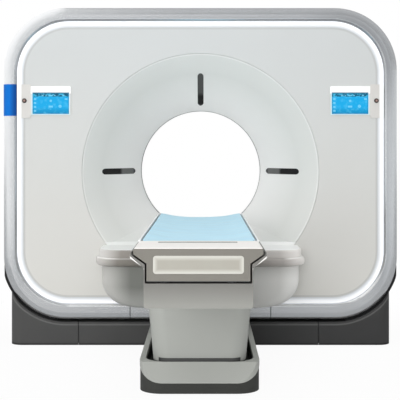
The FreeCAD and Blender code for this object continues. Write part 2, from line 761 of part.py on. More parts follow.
# ================================================================ base
def base_shell():
    """Dark base cover: a saddle that follows the frame at one gap, hollow below."""
    top = ISO_HEIGHT / 2
    saddle = block(-BASE_HALF, BASE_HALF, FRONT, REAR, 0, top)
    saddle = saddle.cut(front_prism(frame_outline(BASE_GAP), FRONT - 1, REAR + 1))
    rim = edges_where(saddle, lambda p: p.y < FRONT + 1e-3 and p.z > GANTRY_BOTTOM - BASE_GAP - 1
                      and abs(p.x) < BASE_HALF - 1)
    saddle = saddle.makeChamfer(BASE_EDGE, [e for e in rim if e.Length > BASE_GAP])
    outline = rectangle(-BASE_HALF, BASE_HALF, FRONT, REAR, BASE_CORNER)
    saddle = saddle.common(plan_prism(outline, 0, top))
    inside = rectangle(-BASE_HALF + BASE_WALL, BASE_HALF - BASE_WALL, FRONT + BASE_WALL,
                       REAR - BASE_WALL, BASE_CORNER - BASE_WALL)
    hollow = plan_prism(inside, -1, top)
    hollow = hollow.cut(front_prism(frame_outline(BASE_GAP + BASE_WALL), FRONT - 1, REAR + 1))
    shell = saddle.cut(hollow)
    hole = pillar_hole()
    return shell.cut(hole).cut(mirrored(hole))


def base_piece(shell, left, right):
    return shell.common(block(left + SEAM / 2, right - SEAM / 2, FRONT - 5, REAR + 5, -5, ISO_HEIGHT))


def make_base_frame():
    """Welded floor frame: two long beams, cross beams, anchor holes and two pillars."""
    half_depth = STEEL_DEPTH / 2
    frame = block(-STEEL_HALF, STEEL_HALF, -half_depth, half_depth, 0, STEEL_HEIGHT)
    bay = (2 * STEEL_HALF - 3 * BEAM_WIDTH) / 2
    for side in (-1, 1):
        middle = side * (BEAM_WIDTH + bay) / 2
        frame = frame.cut(block(middle - bay / 2, middle + bay / 2, -half_depth + BEAM_WIDTH,
                                PILLAR_Y - PILLAR_DEPTH / 2, -1, STEEL_HEIGHT + 1))
    for x in (-ANCHOR_X, ANCHOR_X):
        for y in (-ANCHOR_Y, ANCHOR_Y):
            frame = frame.cut(upright(x, y, ANCHOR_RADIUS, -1, STEEL_HEIGHT + 1))
    pillar = block(PILLAR_X - PILLAR_WIDTH / 2, PILLAR_X + PILLAR_WIDTH / 2,
                   PILLAR_Y - PILLAR_DEPTH / 2, PILLAR_Y + PILLAR_DEPTH / 2, STEEL_HEIGHT, PILLAR_TOP)
    side_lug = block(STEEL_HALF, BASE_HALF - BASE_WALL - FIT, -LUG_WIDTH / 2, LUG_WIDTH / 2,
                     LUG_LOW, LUG_LOW + LUG_HEIGHT)
    front_lug = block(PILLAR_X - LUG_WIDTH / 2, PILLAR_X + LUG_WIDTH / 2, FRONT + BASE_WALL + FIT,
                      -half_depth, LUG_LOW, LUG_LOW + LUG_HEIGHT)
    right = pillar.fuse(side_lug).fuse(front_lug)
    return clean(frame.fuse(right).fuse(mirrored(right)))


# ================================================================ stator side
def make_stator_frame():
    """Cast ring that carries the bearing, with feet, cabinet shelves and cover brackets."""
    back = STATOR_FRONT + STATOR_THICK
    ring = bore_ring(STATOR_BORE, STATOR_RADIUS, STATOR_FRONT, back)
    groove = bore_ring(STATOR_BORE + 40, STATOR_RADIUS - 40, back - 30, back + 1)
    for i in range(RIB_COUNT):
        rib = block(-9, 9, back - 30, back, ISO_HEIGHT + STATOR_BORE, ISO_HEIGHT + STATOR_RADIUS - 5)
        rib.rotate(V(0, 0, ISO_HEIGHT), V(0, 1, 0), 360 / RIB_COUNT * i)
        groove = groove.cut(rib)
    ring = ring.cut(groove)
    foot_top = ISO_HEIGHT - math.sqrt(STATOR_RADIUS ** 2 - PILLAR_X ** 2) + 60
    foot = block(PILLAR_X - PILLAR_WIDTH / 2, PILLAR_X + PILLAR_WIDTH / 2, STATOR_FRONT, back,
                 PILLAR_TOP, foot_top)
    shelf = block(PILLAR_X - PILLAR_WIDTH / 2, CABINET_X + CABINET_WIDTH,
                  PILLAR_Y - PILLAR_DEPTH / 2, PILLAR_Y + PILLAR_DEPTH / 2, PILLAR_TOP, PILLAR_TOP + 15)
    arm = block(STATOR_RADIUS - 30, HALF - COVER_INSET - COVER_WALL - FIT, STATOR_FRONT, back,
                ISO_HEIGHT + ARM_LOW, ISO_HEIGHT + ARM_HIGH)
    right = foot.fuse(shelf).fuse(arm)
    right = right.cut(along(0, ISO_HEIGHT, STATOR_BORE + 5, STATOR_FRONT - 1, back + 1))
    return clean(ring.fuse(right).fuse(mirrored(right)))


def make_cabinet():
    """Electronics cabinet on the right shelf, with vent slots in its face."""
    middle = STATOR_FRONT + STATOR_THICK / 2
    low = PILLAR_TOP + 15
    box = block(CABINET_X, CABINET_X + CABINET_WIDTH, middle - CABINET_DEPTH / 2,
                middle + CABINET_DEPTH / 2, low, low + CABINET_HEIGHT)
    for i in range(8):
        z = low + 60 + 30 * i
        box = box.cut(block(CABINET_X + 30, CABINET_X + CABINET_WIDTH - 30,
                            middle - CABINET_DEPTH / 2 - 1, middle - CABINET_DEPTH / 2 + 6, z, z + 8))
    return box


def make_bearing_outer():
    y = STATOR_FRONT
    return bore_ring(BEARING_SPLIT + RUNNING_GAP, STATOR_BORE, y, y + BEARING_WIDTH)


def make_bearing_inner():
    y = STATOR_FRONT
    return bore_ring(HUB_OUTER, BEARING_SPLIT, y, y + BEARING_WIDTH)


def make_drive_stator():
    """Ring of coils that drives the rotor's rim."""
    inner = DISC_RADIUS - 4 + RUNNING_GAP
    front = STATOR_FRONT - COIL_DEPTH
    ring = bore_ring(inner, STATOR_RADIUS, front, STATOR_FRONT)
    for i in range(COIL_COUNT):
        slot = block(-5, 5, front - 1, STATOR_FRONT - 6, ISO_HEIGHT + inner + 8,
                     ISO_HEIGHT + STATOR_RADIUS + 5)
        slot.rotate(V(0, 0, ISO_HEIGHT), V(0, 1, 0), 360.0 / COIL_COUNT * i)
        ring = ring.cut(slot)
    return ring


def make_brush_block():
    """Brushes that bear on the slip ring."""
    front = DISC_BACK + SLIP_THICK + RUNNING_GAP
    return block(-70, 70, front, STATOR_FRONT, ISO_HEIGHT + SLIP_INNER + 10,
                 ISO_HEIGHT + SLIP_OUTER - 10)


def make_fans():
    """Two fan boxes under the top cover, each with its round duct."""
    top = GANTRY_TOP - COVER_INSET - COVER_WALL
    fans = []
    for x in (-FAN_X, FAN_X):
        fan = block(x - FAN_SIZE / 2, x + FAN_SIZE / 2, -FAN_SIZE / 2, FAN_SIZE / 2,
                    top - FAN_HEIGHT, top)
        fan = fan.cut(upright(x, 0, FAN_SIZE * 0.42, top - FAN_HEIGHT - 1, top - 12))
        hub = upright(x, 0, FAN_SIZE * 0.14, top - FAN_HEIGHT + 10, top - 12)
        fans.append(fan.fuse(hub))
    return Part.makeCompound(fans)


# ================================================================ rotor
def make_rotor_frame():
    """Turning disc with its hub and magnet rim, lightened between the modules."""
    inner = HUB_OUTER - HUB_WALL
    disc = bore_ring(inner, DISC_RADIUS, DISC_FRONT, DISC_BACK)
    hub = bore_ring(inner, HUB_OUTER, DISC_BACK, STATOR_FRONT + BEARING_WIDTH + 4)
    rim_outer = DISC_RADIUS - 4
    rim = bore_ring(rim_outer - RIM_WALL, rim_outer, DISC_BACK, DISC_BACK + RIM_DEPTH)
    body = disc.fuse(hub).fuse(rim)
    for i in range(8):
        hole = along(0, ISO_HEIGHT + (SLIP_INNER + HUB_OUTER) / 2, 26, DISC_FRONT - 1, DISC_BACK + 1)
        hole.rotate(V(0, 0, ISO_HEIGHT), V(0, 1, 0), 45 * i + 22.5)
        body = body.cut(hole)
    return clean(body)


def make_slip_ring():
    """Slip ring with turned tracks, on the back of the disc."""
    ring = bore_ring(SLIP_INNER, SLIP_OUTER, DISC_BACK, DISC_BACK + SLIP_THICK)
    pitch = (SLIP_OUTER - SLIP_INNER) / TRACK_COUNT
    half = pitch * TRACK_SHARE / 2
    for i in range(TRACK_COUNT):
        r = SLIP_INNER + pitch * (i + 0.5)
        groove = bore_ring(r - half, r + half, DISC_BACK + SLIP_THICK - 2, DISC_BACK + SLIP_THICK + 1)
        ring = ring.cut(groove)
    return ring


def make_tube():
    """Tube housing with its stepped ends and the foot that bolts to the disc."""
    z = ISO_HEIGHT + FOCUS_RADIUS
    back = DISC_FRONT
    front = back - TUBE_LENGTH
    barrel = along(0, z, TUBE_RADIUS, front + 30, back)
    nose = along(0, z, TUBE_RADIUS * 0.7, front, front + 30)
    foot = block(-TUBE_RADIUS, TUBE_RADIUS, back - 40, back, z - 60, z + 60)
    return clean(barrel.fuse(nose).fuse(foot))


def make_collimator():
    """Box of slits under the tube, with its beam opening."""
    top = ISO_HEIGHT + FOCUS_RADIUS - TUBE_RADIUS - FIT
    low = ISO_HEIGHT + BORE_RADIUS + 50
    half = 85.0
    box = block(-half, half, -60, DISC_FRONT, low, top)
    return box.cut(block(-half + 20, half - 20, -20, 20, low - 1, top + 1))


def make_detector():
    """Detector arc, centred on the tube's focus."""
    focus = ISO_HEIGHT + FOCUS_RADIUS
    near = DETECTOR_DISTANCE
    far = near + DETECTOR_THICK
    turn = math.radians(DETECTOR_HALF_ANGLE)
    at = lambda r, a: V(r * math.sin(a), -DETECTOR_WIDTH / 2, focus - r * math.cos(a))
    edges = [Part.Arc(at(near, -turn), at(near, 0), at(near, turn)).toShape(),
             Part.LineSegment(at(near, turn), at(far, turn)).toShape(),
             Part.Arc(at(far, turn), at(far, 0), at(far, -turn)).toShape(),
             Part.LineSegment(at(far, -turn), at(near, -turn)).toShape()]
    return Part.Face(Part.Wire(edges)).extrude(V(0, DISC_FRONT + DETECTOR_WIDTH / 2, 0))


def make_module(fins):
    """Box module on the right of the disc, finned where it is a cooler."""
    box = block(MODULE_IN, MODULE_OUT, DISC_FRONT - MODULE_DEPTH, DISC_FRONT,
                ISO_HEIGHT - MODULE_HALF, ISO_HEIGHT + MODULE_HALF)
    if not fins:
        return box
    for i in range(9):
        z = ISO_HEIGHT - MODULE_HALF + 22 + 30 * i
        box = box.cut(block(MODULE_IN + 20, MODULE_OUT - 20, DISC_FRONT - MODULE_DEPTH - 1,
                            DISC_FRONT - MODULE_DEPTH + 40, z, z + 14))
    return box


def make_balance_weights(pieces):
    """Two weights beside the lighter end, sized so that the rotor balances on its axis."""
    solids = [solid for piece in pieces for solid in piece.Solids]
    moment_z = sum(s.Volume * (s.CenterOfMass.z - ISO_HEIGHT) for s in solids)
    side = -1 if moment_z > 0 else 1
    half = WEIGHT_HALF
    spread = math.radians(WEIGHT_ANGLE)
    x = WEIGHT_RADIUS * math.sin(spread)
    z = ISO_HEIGHT + side * WEIGHT_RADIUS * math.cos(spread)
    area = (2 * half) ** 2
    depth = abs(moment_z) / (2 * area * abs(z - ISO_HEIGHT))
    right = block(x - half, x + half, DISC_FRONT - depth, DISC_FRONT, z - half, z + half)
    moment_x = sum(s.Volume * s.CenterOfMass.x for s in solids)
    print("rotor: weight depth %.1f, side moment %.3g, height moment %.3g"
          % (depth, moment_x, moment_z))
    return Part.makeCompound([right, mirrored(right)])


# ================================================================ couch: fixed pieces
def couch_plan(half, front, corner, rear):
    return [(-half, rear, 0), (-half, front, corner), (half, front, corner), (half, rear, 0)]


def skirt_profile(low):
    """Everything under the seam between the dark foot and the light rim."""
    start = COUCH_BASE_FRONT - 10
    climb = (SKIRT_SIDE - SKIRT_HEIGHT) / SKIRT_RUN
    seam = [(start, low, 0), (start, SKIRT_HEIGHT - 10 * climb, 0),
            (COUCH_BASE_FRONT + SKIRT_RUN, SKIRT_SIDE, SKIRT_ROUND), (FRONT, SKIRT_SIDE, 0),
            (FRONT, low, 0)]
    return side_prism(seam, -HALF, HALF)


def well_outline(grow):
    """Plan of the well that the column stands in."""
    half = COUCH_BASE_HALF - RIM_SIDE + grow
    return rectangle(-half, half, COUCH_BASE_FRONT + RIM_FRONT - grow,
                     COLUMN_REAR + WELL_REAR_GAP + grow, WELL_CORNER + grow)


def make_couch_base():
    """Dark foot of the couch, bolted to the floor inside the column."""
    plan = couch_plan(COUCH_BASE_HALF - SKIRT_INSET, COUCH_BASE_FRONT + SKIRT_INSET,
                      COUCH_BASE_CORNER - SKIRT_INSET, FRONT - FIT)
    foot = plan_prism(plan, 0, RIM_TOP).common(skirt_profile(-1))
    foot = foot.cut(plan_prism(well_outline(0), SKIRT_HEIGHT, RIM_TOP + 1))
    for x in (-COUCH_ANCHOR_X, COUCH_ANCHOR_X):
        for y in (COUCH_MID - COUCH_ANCHOR_Y, COUCH_MID + COUCH_ANCHOR_Y):
            foot = foot.cut(upright(x, y, COUCH_ANCHOR_RADIUS, -1, SKIRT_HEIGHT + 1))
    return foot


def make_base_rim():
    """Light rim round the well that the column stands in, with a sloping nose."""
    plan = couch_plan(COUCH_BASE_HALF, COUCH_BASE_FRONT, COUCH_BASE_CORNER, FRONT - FIT)
    rim = plan_prism(plan, 0, RIM_TOP).cut(skirt_profile(-10))
    rim = rim.cut(plan_prism(well_outline(0), -1, RIM_TOP + 1))
    well_front = COUCH_BASE_FRONT + RIM_FRONT
    nose = [(COUCH_BASE_FRONT - 1, SKIRT_HEIGHT + 4, 0), (well_front, RIM_TOP - 2, 0),
            (well_front + 40, RIM_TOP + 1, 0), (COUCH_BASE_FRONT - 1, RIM_TOP + 1, 0)]
    return rim.cut(side_prism(nose, -HALF, HALF))


def make_inner_shroud():
    """Fixed inner shroud, which shows when the column rises."""
    front = COLUMN_FRONT + COLUMN_WALL + SHROUD_GAP
    rear = COLUMN_REAR - COLUMN_WALL - SHROUD_GAP
    corner = COLUMN_CORNER - COLUMN_WALL - SHROUD_GAP
    outer = plan_prism(rectangle(-SHROUD_HALF, SHROUD_HALF, front, rear, corner),
                       SKIRT_HEIGHT, SHROUD_TOP)
    inner = rectangle(-SHROUD_HALF + COLUMN_WALL, SHROUD_HALF - COLUMN_WALL, front + COLUMN_WALL,
                      rear - COLUMN_WALL, corner - COLUMN_WALL)
    return outer.cut(plan_prism(inner, SKIRT_HEIGHT - 1, SHROUD_TOP + 1))


def make_guide_posts():
    return Part.makeCompound([upright(x, COUCH_MID, POST_RADIUS, SKIRT_HEIGHT, SHROUD_TOP)
                              for x in (-POST_X, POST_X)])


def make_lift_cylinder():
    bore = ROD_RADIUS + RUNNING_GAP
    tube = upright(0, COUCH_MID, bore + CYLINDER_WALL, SKIRT_HEIGHT, CYLINDER_TOP)
    return tube.cut(upright(0, COUCH_MID, bore, SKIRT_HEIGHT + 12, CYLINDER_TOP + 1))


# ================================================================ couch: pieces that lift
def column_section(half, z, inset):
    plan = rectangle(-half + inset, half - inset, COLUMN_FRONT + inset, COLUMN_REAR - inset,
                     COLUMN_CORNER - inset)
    return rounded_wire(plan, plan_plane(z))


def housing_half():
    return CAP_NECK + CAP_GAP + HOUSING_WALL


def make_column():
    """Moving column cover: tapers down to its foot and narrows to the housing above."""
    heights = [(COLUMN_FOOT_HALF, COLUMN_BOTTOM), (COLUMN_WAIST_HALF, COLUMN_WAIST),
               (housing_half(), HOUSING_BOTTOM)]
    outer = Part.makeLoft([column_section(h, z, 0) for h, z in heights], True, True)
    lowered = [(h, z - COLUMN_WALL) for h, z in heights]
    inner = Part.makeLoft([column_section(h, z, COLUMN_WALL) for h, z in lowered], True, True)
    column = outer.cut(inner)
    return column.cut(block(-CUTOUT_HALF, CUTOUT_HALF, COLUMN_FRONT - 1, COLUMN_FRONT + 60,
                            COLUMN_BOTTOM - 1, COLUMN_BOTTOM + CUTOUT_HEIGHT))


def cap_corners(grow, flare=0.0, crown=0.0):
    """T-shaped outline of the foot cap, grown all round, and more under the chamfer by flare."""
    lean = math.atan2(CAP_TOP - CAP_SIDE - CAP_CHAMFER_LOW, CAP_HALF - CAP_NECK)
    out = grow + flare
    half, neck = CAP_HALF + grow, CAP_NECK + grow
    fall = out / math.cos(lean)
    low = CAP_CHAMFER_LOW - fall + grow * math.tan(lean)
    shoulder = low + (half - neck) * math.tan(lean)
    return [(-neck, CAP_BOTTOM - grow, 4), (neck, CAP_BOTTOM - grow, 4), (neck, low, 0),
            (half, shoulder, 0), (half, CAP_TOP, crown), (-half, CAP_TOP, crown),
            (-half, shoulder, 0), (-neck, low, 0)]


def make_housing():
    """Long couch housing: a trough that follows the cap's T shape over a closed drive box."""
    half = housing_half()
    top = CAP_TOP - CAP_SIDE + HOUSING_LIP
    wall = front_prism(cap_corners(CAP_GAP + HOUSING_WALL, HOUSING_FLARE), COUCH_FRONT, HOUSING_REAR)
    wall = wall.common(block(-HALF, HALF, COUCH_FRONT - 1, HOUSING_REAR + 1, 0, top))
    floor = CAP_BOTTOM - CAP_GAP
    lower = front_prism([(-half, HOUSING_BOTTOM, HOUSING_CORNER), (half, HOUSING_BOTTOM, HOUSING_CORNER),
                         (half, floor + 20, 0), (-half, floor + 20, 0)], COUCH_FRONT, HOUSING_REAR)
    body = wall.fuse(lower)
    body = body.cut(front_prism(cap_corners(CAP_GAP), COUCH_FRONT - 1, HOUSING_REAR + 1))
    cavity = rectangle(-half + 5, half - 5, HOUSING_BOTTOM + 6, RAIL_FLOOR - 6, 6)
    body = body.cut(front_prism(cavity, COUCH_FRONT + 8, HOUSING_REAR - 8))
    for x in (-RAIL_X, RAIL_X):
        reach = RAIL_WIDTH / 2 + GROOVE_CLEAR
        body = body.cut(block(x - reach, x + reach, COUCH_FRONT + CAP_WALL + 8, HOUSING_REAR + 1,
                              RAIL_FLOOR, floor + 1))
    return clean(body)


def make_rails():
    """Two straight rails sunk in the housing's floor."""
    start = COUCH_FRONT + CAP_WALL + 8
    return Part.makeCompound([block(x - RAIL_WIDTH / 2, x + RAIL_WIDTH / 2, start, HOUSING_REAR,
                                    RAIL_FLOOR, RAIL_FLOOR + RAIL_HEIGHT)
                              for x in (-RAIL_X, RAIL_X)])


def make_sleeves():
    """Guide sleeves that slide on the posts."""
    sleeves = []
    top = HOUSING_BOTTOM - COLUMN_WALL
    for x in (-POST_X, POST_X):
        bore = POST_RADIUS + RUNNING_GAP
        sleeve = upright(x, COUCH_MID, bore + SLEEVE_WALL, SLEEVE_BOTTOM, top)
        sleeves.append(sleeve.cut(upright(x, COUCH_MID, bore, SLEEVE_BOTTOM - 1, top - 8)))
    return Part.makeCompound(sleeves)


def make_lift_rod():
    top = HOUSING_BOTTOM - COLUMN_WALL
    rod = upright(0, COUCH_MID, ROD_RADIUS, ROD_BOTTOM, top)
    flange = upright(0, COUCH_MID, ROD_RADIUS + 26, top - 14, top)
    return clean(rod.fuse(flange))


def make_drive_unit():
    """Motor and gearbox of the table drive, on the floor of the drive box."""
    low = HOUSING_BOTTOM + 6
    gearbox = block(-55, 55, COUCH_MID - 60, COUCH_MID + 60, low, low + 54)
    motor = along(0, low + 28, 26, COUCH_MID + 60, COUCH_MID + 240)
    return clean(gearbox.fuse(motor))


# ================================================================ couch: pieces that slide
def make_foot_cap():
    """T-shaped end cap with its top plate, panel recess and grip groove."""
    rear = COUCH_FRONT + CAP_LENGTH - FIT
    cap = front_prism(cap_corners(0, 0, CAP_TOP_ROUND), COUCH_FRONT, rear)
    hollow = [(-CAP_NECK + 8, CAP_BOTTOM - 1, 0), (CAP_NECK - 8, CAP_BOTTOM - 1, 0),
              (CAP_NECK - 8, CAP_TOP - CAP_WALL, 0), (-CAP_NECK + 8, CAP_TOP - CAP_WALL, 0)]
    cap = cap.cut(front_prism(hollow, COUCH_FRONT + CAP_WALL, rear + 1))
    cap = cap.cut(front_prism(panel_corners(FIT), COUCH_FRONT - 1, COUCH_FRONT + 7))
    y = COUCH_FRONT + GROOVE_BACK
    groove = rectangle(-GROOVE_LENGTH / 2, GROOVE_LENGTH / 2, y - GROOVE_WIDTH / 2,
                       y + GROOVE_WIDTH / 2, GROOVE_WIDTH / 2 - 0.01)
    cap = cap.cut(plan_prism(groove, CAP_TOP - GROOVE_DEPTH, CAP_TOP + 1))
    front_top = edges_where(cap, lambda p: abs(p.y - COUCH_FRONT) < 1e-3
                            and abs(p.z - CAP_TOP) < 1e-3)
    return cap.makeFillet(5.0, front_top)


def panel_corners(grow=0.0):
    half = PANEL_WIDTH / 2 + grow
    return rectangle(-half, half, PANEL_LOW - grow, PANEL_HIGH + grow, PANEL_CORNER + grow)


def make_cap_panel():
    return front_prism(panel_corners(), COUCH_FRONT + 1.5, COUCH_FRONT + 7)


def dish_radius(half, sag):
    """Radius of an arc that sags by sag over a half width."""
    return (half ** 2 + sag ** 2) / (2 * sag)


def make_cradle():
    """Thin dished cradle with upstanding rims."""
    inner = PAD_HALF + 1
    radius = dish_radius(inner, CRADLE_SAG)
    centre_z = CRADLE_FLOOR + radius
    y0, y1 = CRADLE_FRONT, CRADLE_REAR
    band = front_prism([(-CRADLE_HALF, CRADLE_RIM_FOOT, 5), (CRADLE_HALF, CRADLE_RIM_FOOT, 5),
                        (CRADLE_HALF, CRADLE_RIM, 4), (-CRADLE_HALF, CRADLE_RIM, 4)], y0, y1)
    low = CRADLE_FLOOR - CRADLE_WALL
    belly = along(0, low + radius + CRADLE_WALL, radius + CRADLE_WALL, y0, y1)
    belly = belly.common(block(-CRADLE_HALF + 6, CRADLE_HALF - 6, y0, y1, low - 1, CRADLE_RIM_FOOT + 8))
    dish = along(0, centre_z, radius, y0 - 1, y1 + 1)
    dish = dish.common(block(-inner, inner, y0 - 1, y1 + 1, CRADLE_FLOOR - 1, CRADLE_RIM + 1))
    return clean(band.fuse(belly).cut(dish))


def pad_face(y):
    """Section of the pad: a shallow dish on the cradle's floor."""
    inner = PAD_HALF + 1
    floor_radius = dish_radius(inner, CRADLE_SAG) - FIT
    floor_centre = CRADLE_FLOOR + floor_radius + FIT
    top_middle = CRADLE_FLOOR + PAD_THICK
    place = front_plane(y)
    low = floor_centre - math.sqrt(floor_radius ** 2 - PAD_HALF ** 2)
    high = top_middle + PAD_SAG
    edges = [Part.Arc(place(-PAD_HALF, low), place(0, CRADLE_FLOOR + FIT), place(PAD_HALF, low)).toShape(),
             Part.LineSegment(place(PAD_HALF, low), place(PAD_HALF, high)).toShape(),
             Part.Arc(place(PAD_HALF, high), place(0, top_middle), place(-PAD_HALF, high)).toShape(),
             Part.LineSegment(place(-PAD_HALF, high), place(-PAD_HALF, low)).toShape()]
    return Part.Face(Part.Wire(edges))


def make_pad():
    """Foam pad, crowned in the cradle's dish, with its long sides drawn in."""
    start = CRADLE_FRONT + FIT
    pad = pad_face(start).extrude(V(0, CRADLE_REAR - start, 0))
    middle = (start + CRADLE_REAR) / 2
    plan = [(-PAD_HALF, start, PAD_CORNER), (PAD_HALF, start, PAD_CORNER), (PAD_WAIST, middle, 0),
            (PAD_HALF, CRADLE_REAR, PAD_CORNER), (-PAD_HALF, CRADLE_REAR, PAD_CORNER),
            (-PAD_WAIST, middle, 0)]
    pad = pad.common(plan_prism(plan, CRADLE_FLOOR - 5, CRADLE_RIM + 20))
    top = edges_where(pad, lambda p: p.z > CRADLE_FLOOR + PAD_THICK - 1)
    return pad.makeFillet(PAD_EDGE, top)


def make_carriage():
    """Carriage: a plate on four runner blocks, with saddles under the cradle."""
    start = COUCH_FRONT + CARRIAGE_START
    end = start + CARRIAGE_LENGTH
    top_of_block = CAP_BOTTOM + 17
    body = block(-CARRIAGE_HALF, CARRIAGE_HALF, start, end, top_of_block, top_of_block + CARRIAGE_PLATE)
    for x in (-RAIL_X, RAIL_X):
        for y in (start + 10, end - RUNNER_LENGTH - 10):
            runner = block(x - RAIL_WIDTH / 2 - 6, x + RAIL_WIDTH / 2 + 6, y, y + RUNNER_LENGTH,
                           RAIL_FLOOR + 3, top_of_block)
            runner = runner.cut(block(x - RAIL_WIDTH / 2 - FIT, x + RAIL_WIDTH / 2 + FIT, y - 1,
                                      y + RUNNER_LENGTH + 1, RAIL_FLOOR, RAIL_FLOOR + RAIL_HEIGHT + FIT))
            body = body.fuse(runner)
    radius = dish_radius(PAD_HALF + 1, CRADLE_SAG) + CRADLE_WALL + FIT
    centre_z = CRADLE_FLOOR - CRADLE_WALL - FIT + radius
    for x in (-100, 100):
        saddle = block(x - 20, x + 20, CRADLE_FRONT + 8, end, top_of_block + CARRIAGE_PLATE,
                       CRADLE_FLOOR)
        body = body.fuse(saddle.cut(along(0, centre_z, radius, start, end + 1)))
    bridge = block(-CARRIAGE_HALF, CARRIAGE_HALF, start, start + 60, top_of_block + CARRIAGE_PLATE,
                   CAP_TOP - CAP_WALL - FIT)
    return clean(body.fuse(bridge))


# ================================================================ assembly
def build_gantry():
    frame = frame_with_backing()
    export("front_frame", make_front_frame(frame))
    export("frame_centre_piece", make_centre_piece(frame))
    export("rear_frame", turned_round(frame))
    export("light_band", make_light_band())
    export("front_panel", make_front_panel())
    export("front_funnel", make_front_funnel())
    export("laser_windows", make_laser_windows())
    export("scan_window", make_scan_window())
    export("rear_funnel", make_rear_funnel())
    export("rear_panel", make_rear_panel())
    bowl = make_bowl()
    export("chin_bowl_right", bowl)
    export("chin_bowl_left", mirrored(bowl))
    ring = cover_ring()
    side = make_side_cover(ring)
    export("side_cover_right", side)
    export("side_cover_left", mirrored(side))
    export("top_cover", make_top_cover(ring))
    export("belly_cover", make_belly_cover(ring))
    bezel, screen, collar, button = make_bezel(), make_screen(), make_collar(), make_button()
    for name, piece in (("control_bezel", bezel), ("screen", screen), ("stop_button", button)):
        export(name + "_right", piece)
        export(name + "_left", mirrored(piece))
    export("button_collars", Part.makeCompound([collar, mirrored(collar)]))
    export("badge_plate", make_badge_plate())


def build_base():
    shell = base_shell()
    export("base_cover_left", base_piece(shell, -BASE_HALF - 5, BASE_SEAM_LEFT))
    export("base_cover_centre", base_piece(shell, BASE_SEAM_LEFT, BASE_SEAM_RIGHT))
    export("base_cover_right", base_piece(shell, BASE_SEAM_RIGHT, BASE_HALF + 5))
    export("base_frame", make_base_frame())


def build_scanner():
    export("stator_frame", make_stator_frame())
    export("bearing_outer_ring", make_bearing_outer())
    export("drive_stator", make_drive_stator())
    export("brush_block", make_brush_block())
    export("cooling_fans", make_fans())
    cabinet = make_cabinet()
    export("gantry_controller", cabinet)
    export("power_unit", mirrored(cabinet))
    pieces = {"rotor_frame": make_rotor_frame(), "bearing_inner_ring": make_bearing_inner(),
              "slip_ring": make_slip_ring(), "xray_tube": make_tube(),
              "collimator": make_collimator(), "detector_arc": make_detector(),
              "hv_generator": mirrored(make_module(True)), "tube_cooler": make_module(True)}
    for name, piece in pieces.items():
        export(name, piece)
    export("balance_weights", make_balance_weights(pieces.values()))


def build_couch():
    export("couch_base", make_couch_base())
    export("base_rim", make_base_rim())
    export("inner_shroud", make_inner_shroud())
    export("guide_posts", make_guide_posts())
    export("lift_cylinder", make_lift_cylinder())
    export("column_shroud", make_column())
    export("couch_housing", make_housing())
    export("slide_rails", make_rails())
    export("guide_sleeves", make_sleeves())
    export("lift_rod", make_lift_rod())
    export("table_drive", make_drive_unit())
    export("foot_cap", make_foot_cap())
    export("cap_panel", make_cap_panel())
    export("cradle_shell", make_cradle())
    export("pad", make_pad())
    export("carriage", make_carriage())


os.makedirs("parts", exist_ok=True)
build_gantry()
build_base()
build_scanner()
build_couch()
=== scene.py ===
# %% [markdown]
# # A CT scanner: the looks
# The construction model gives every rigid piece its size and place. This script adds what the eye
# needs: painted, moulded, lit and upholstered surfaces, a pad that swells like foam, the page on
# the two touch screens, and the small trim. It reads the frame first, and everything is in metres.

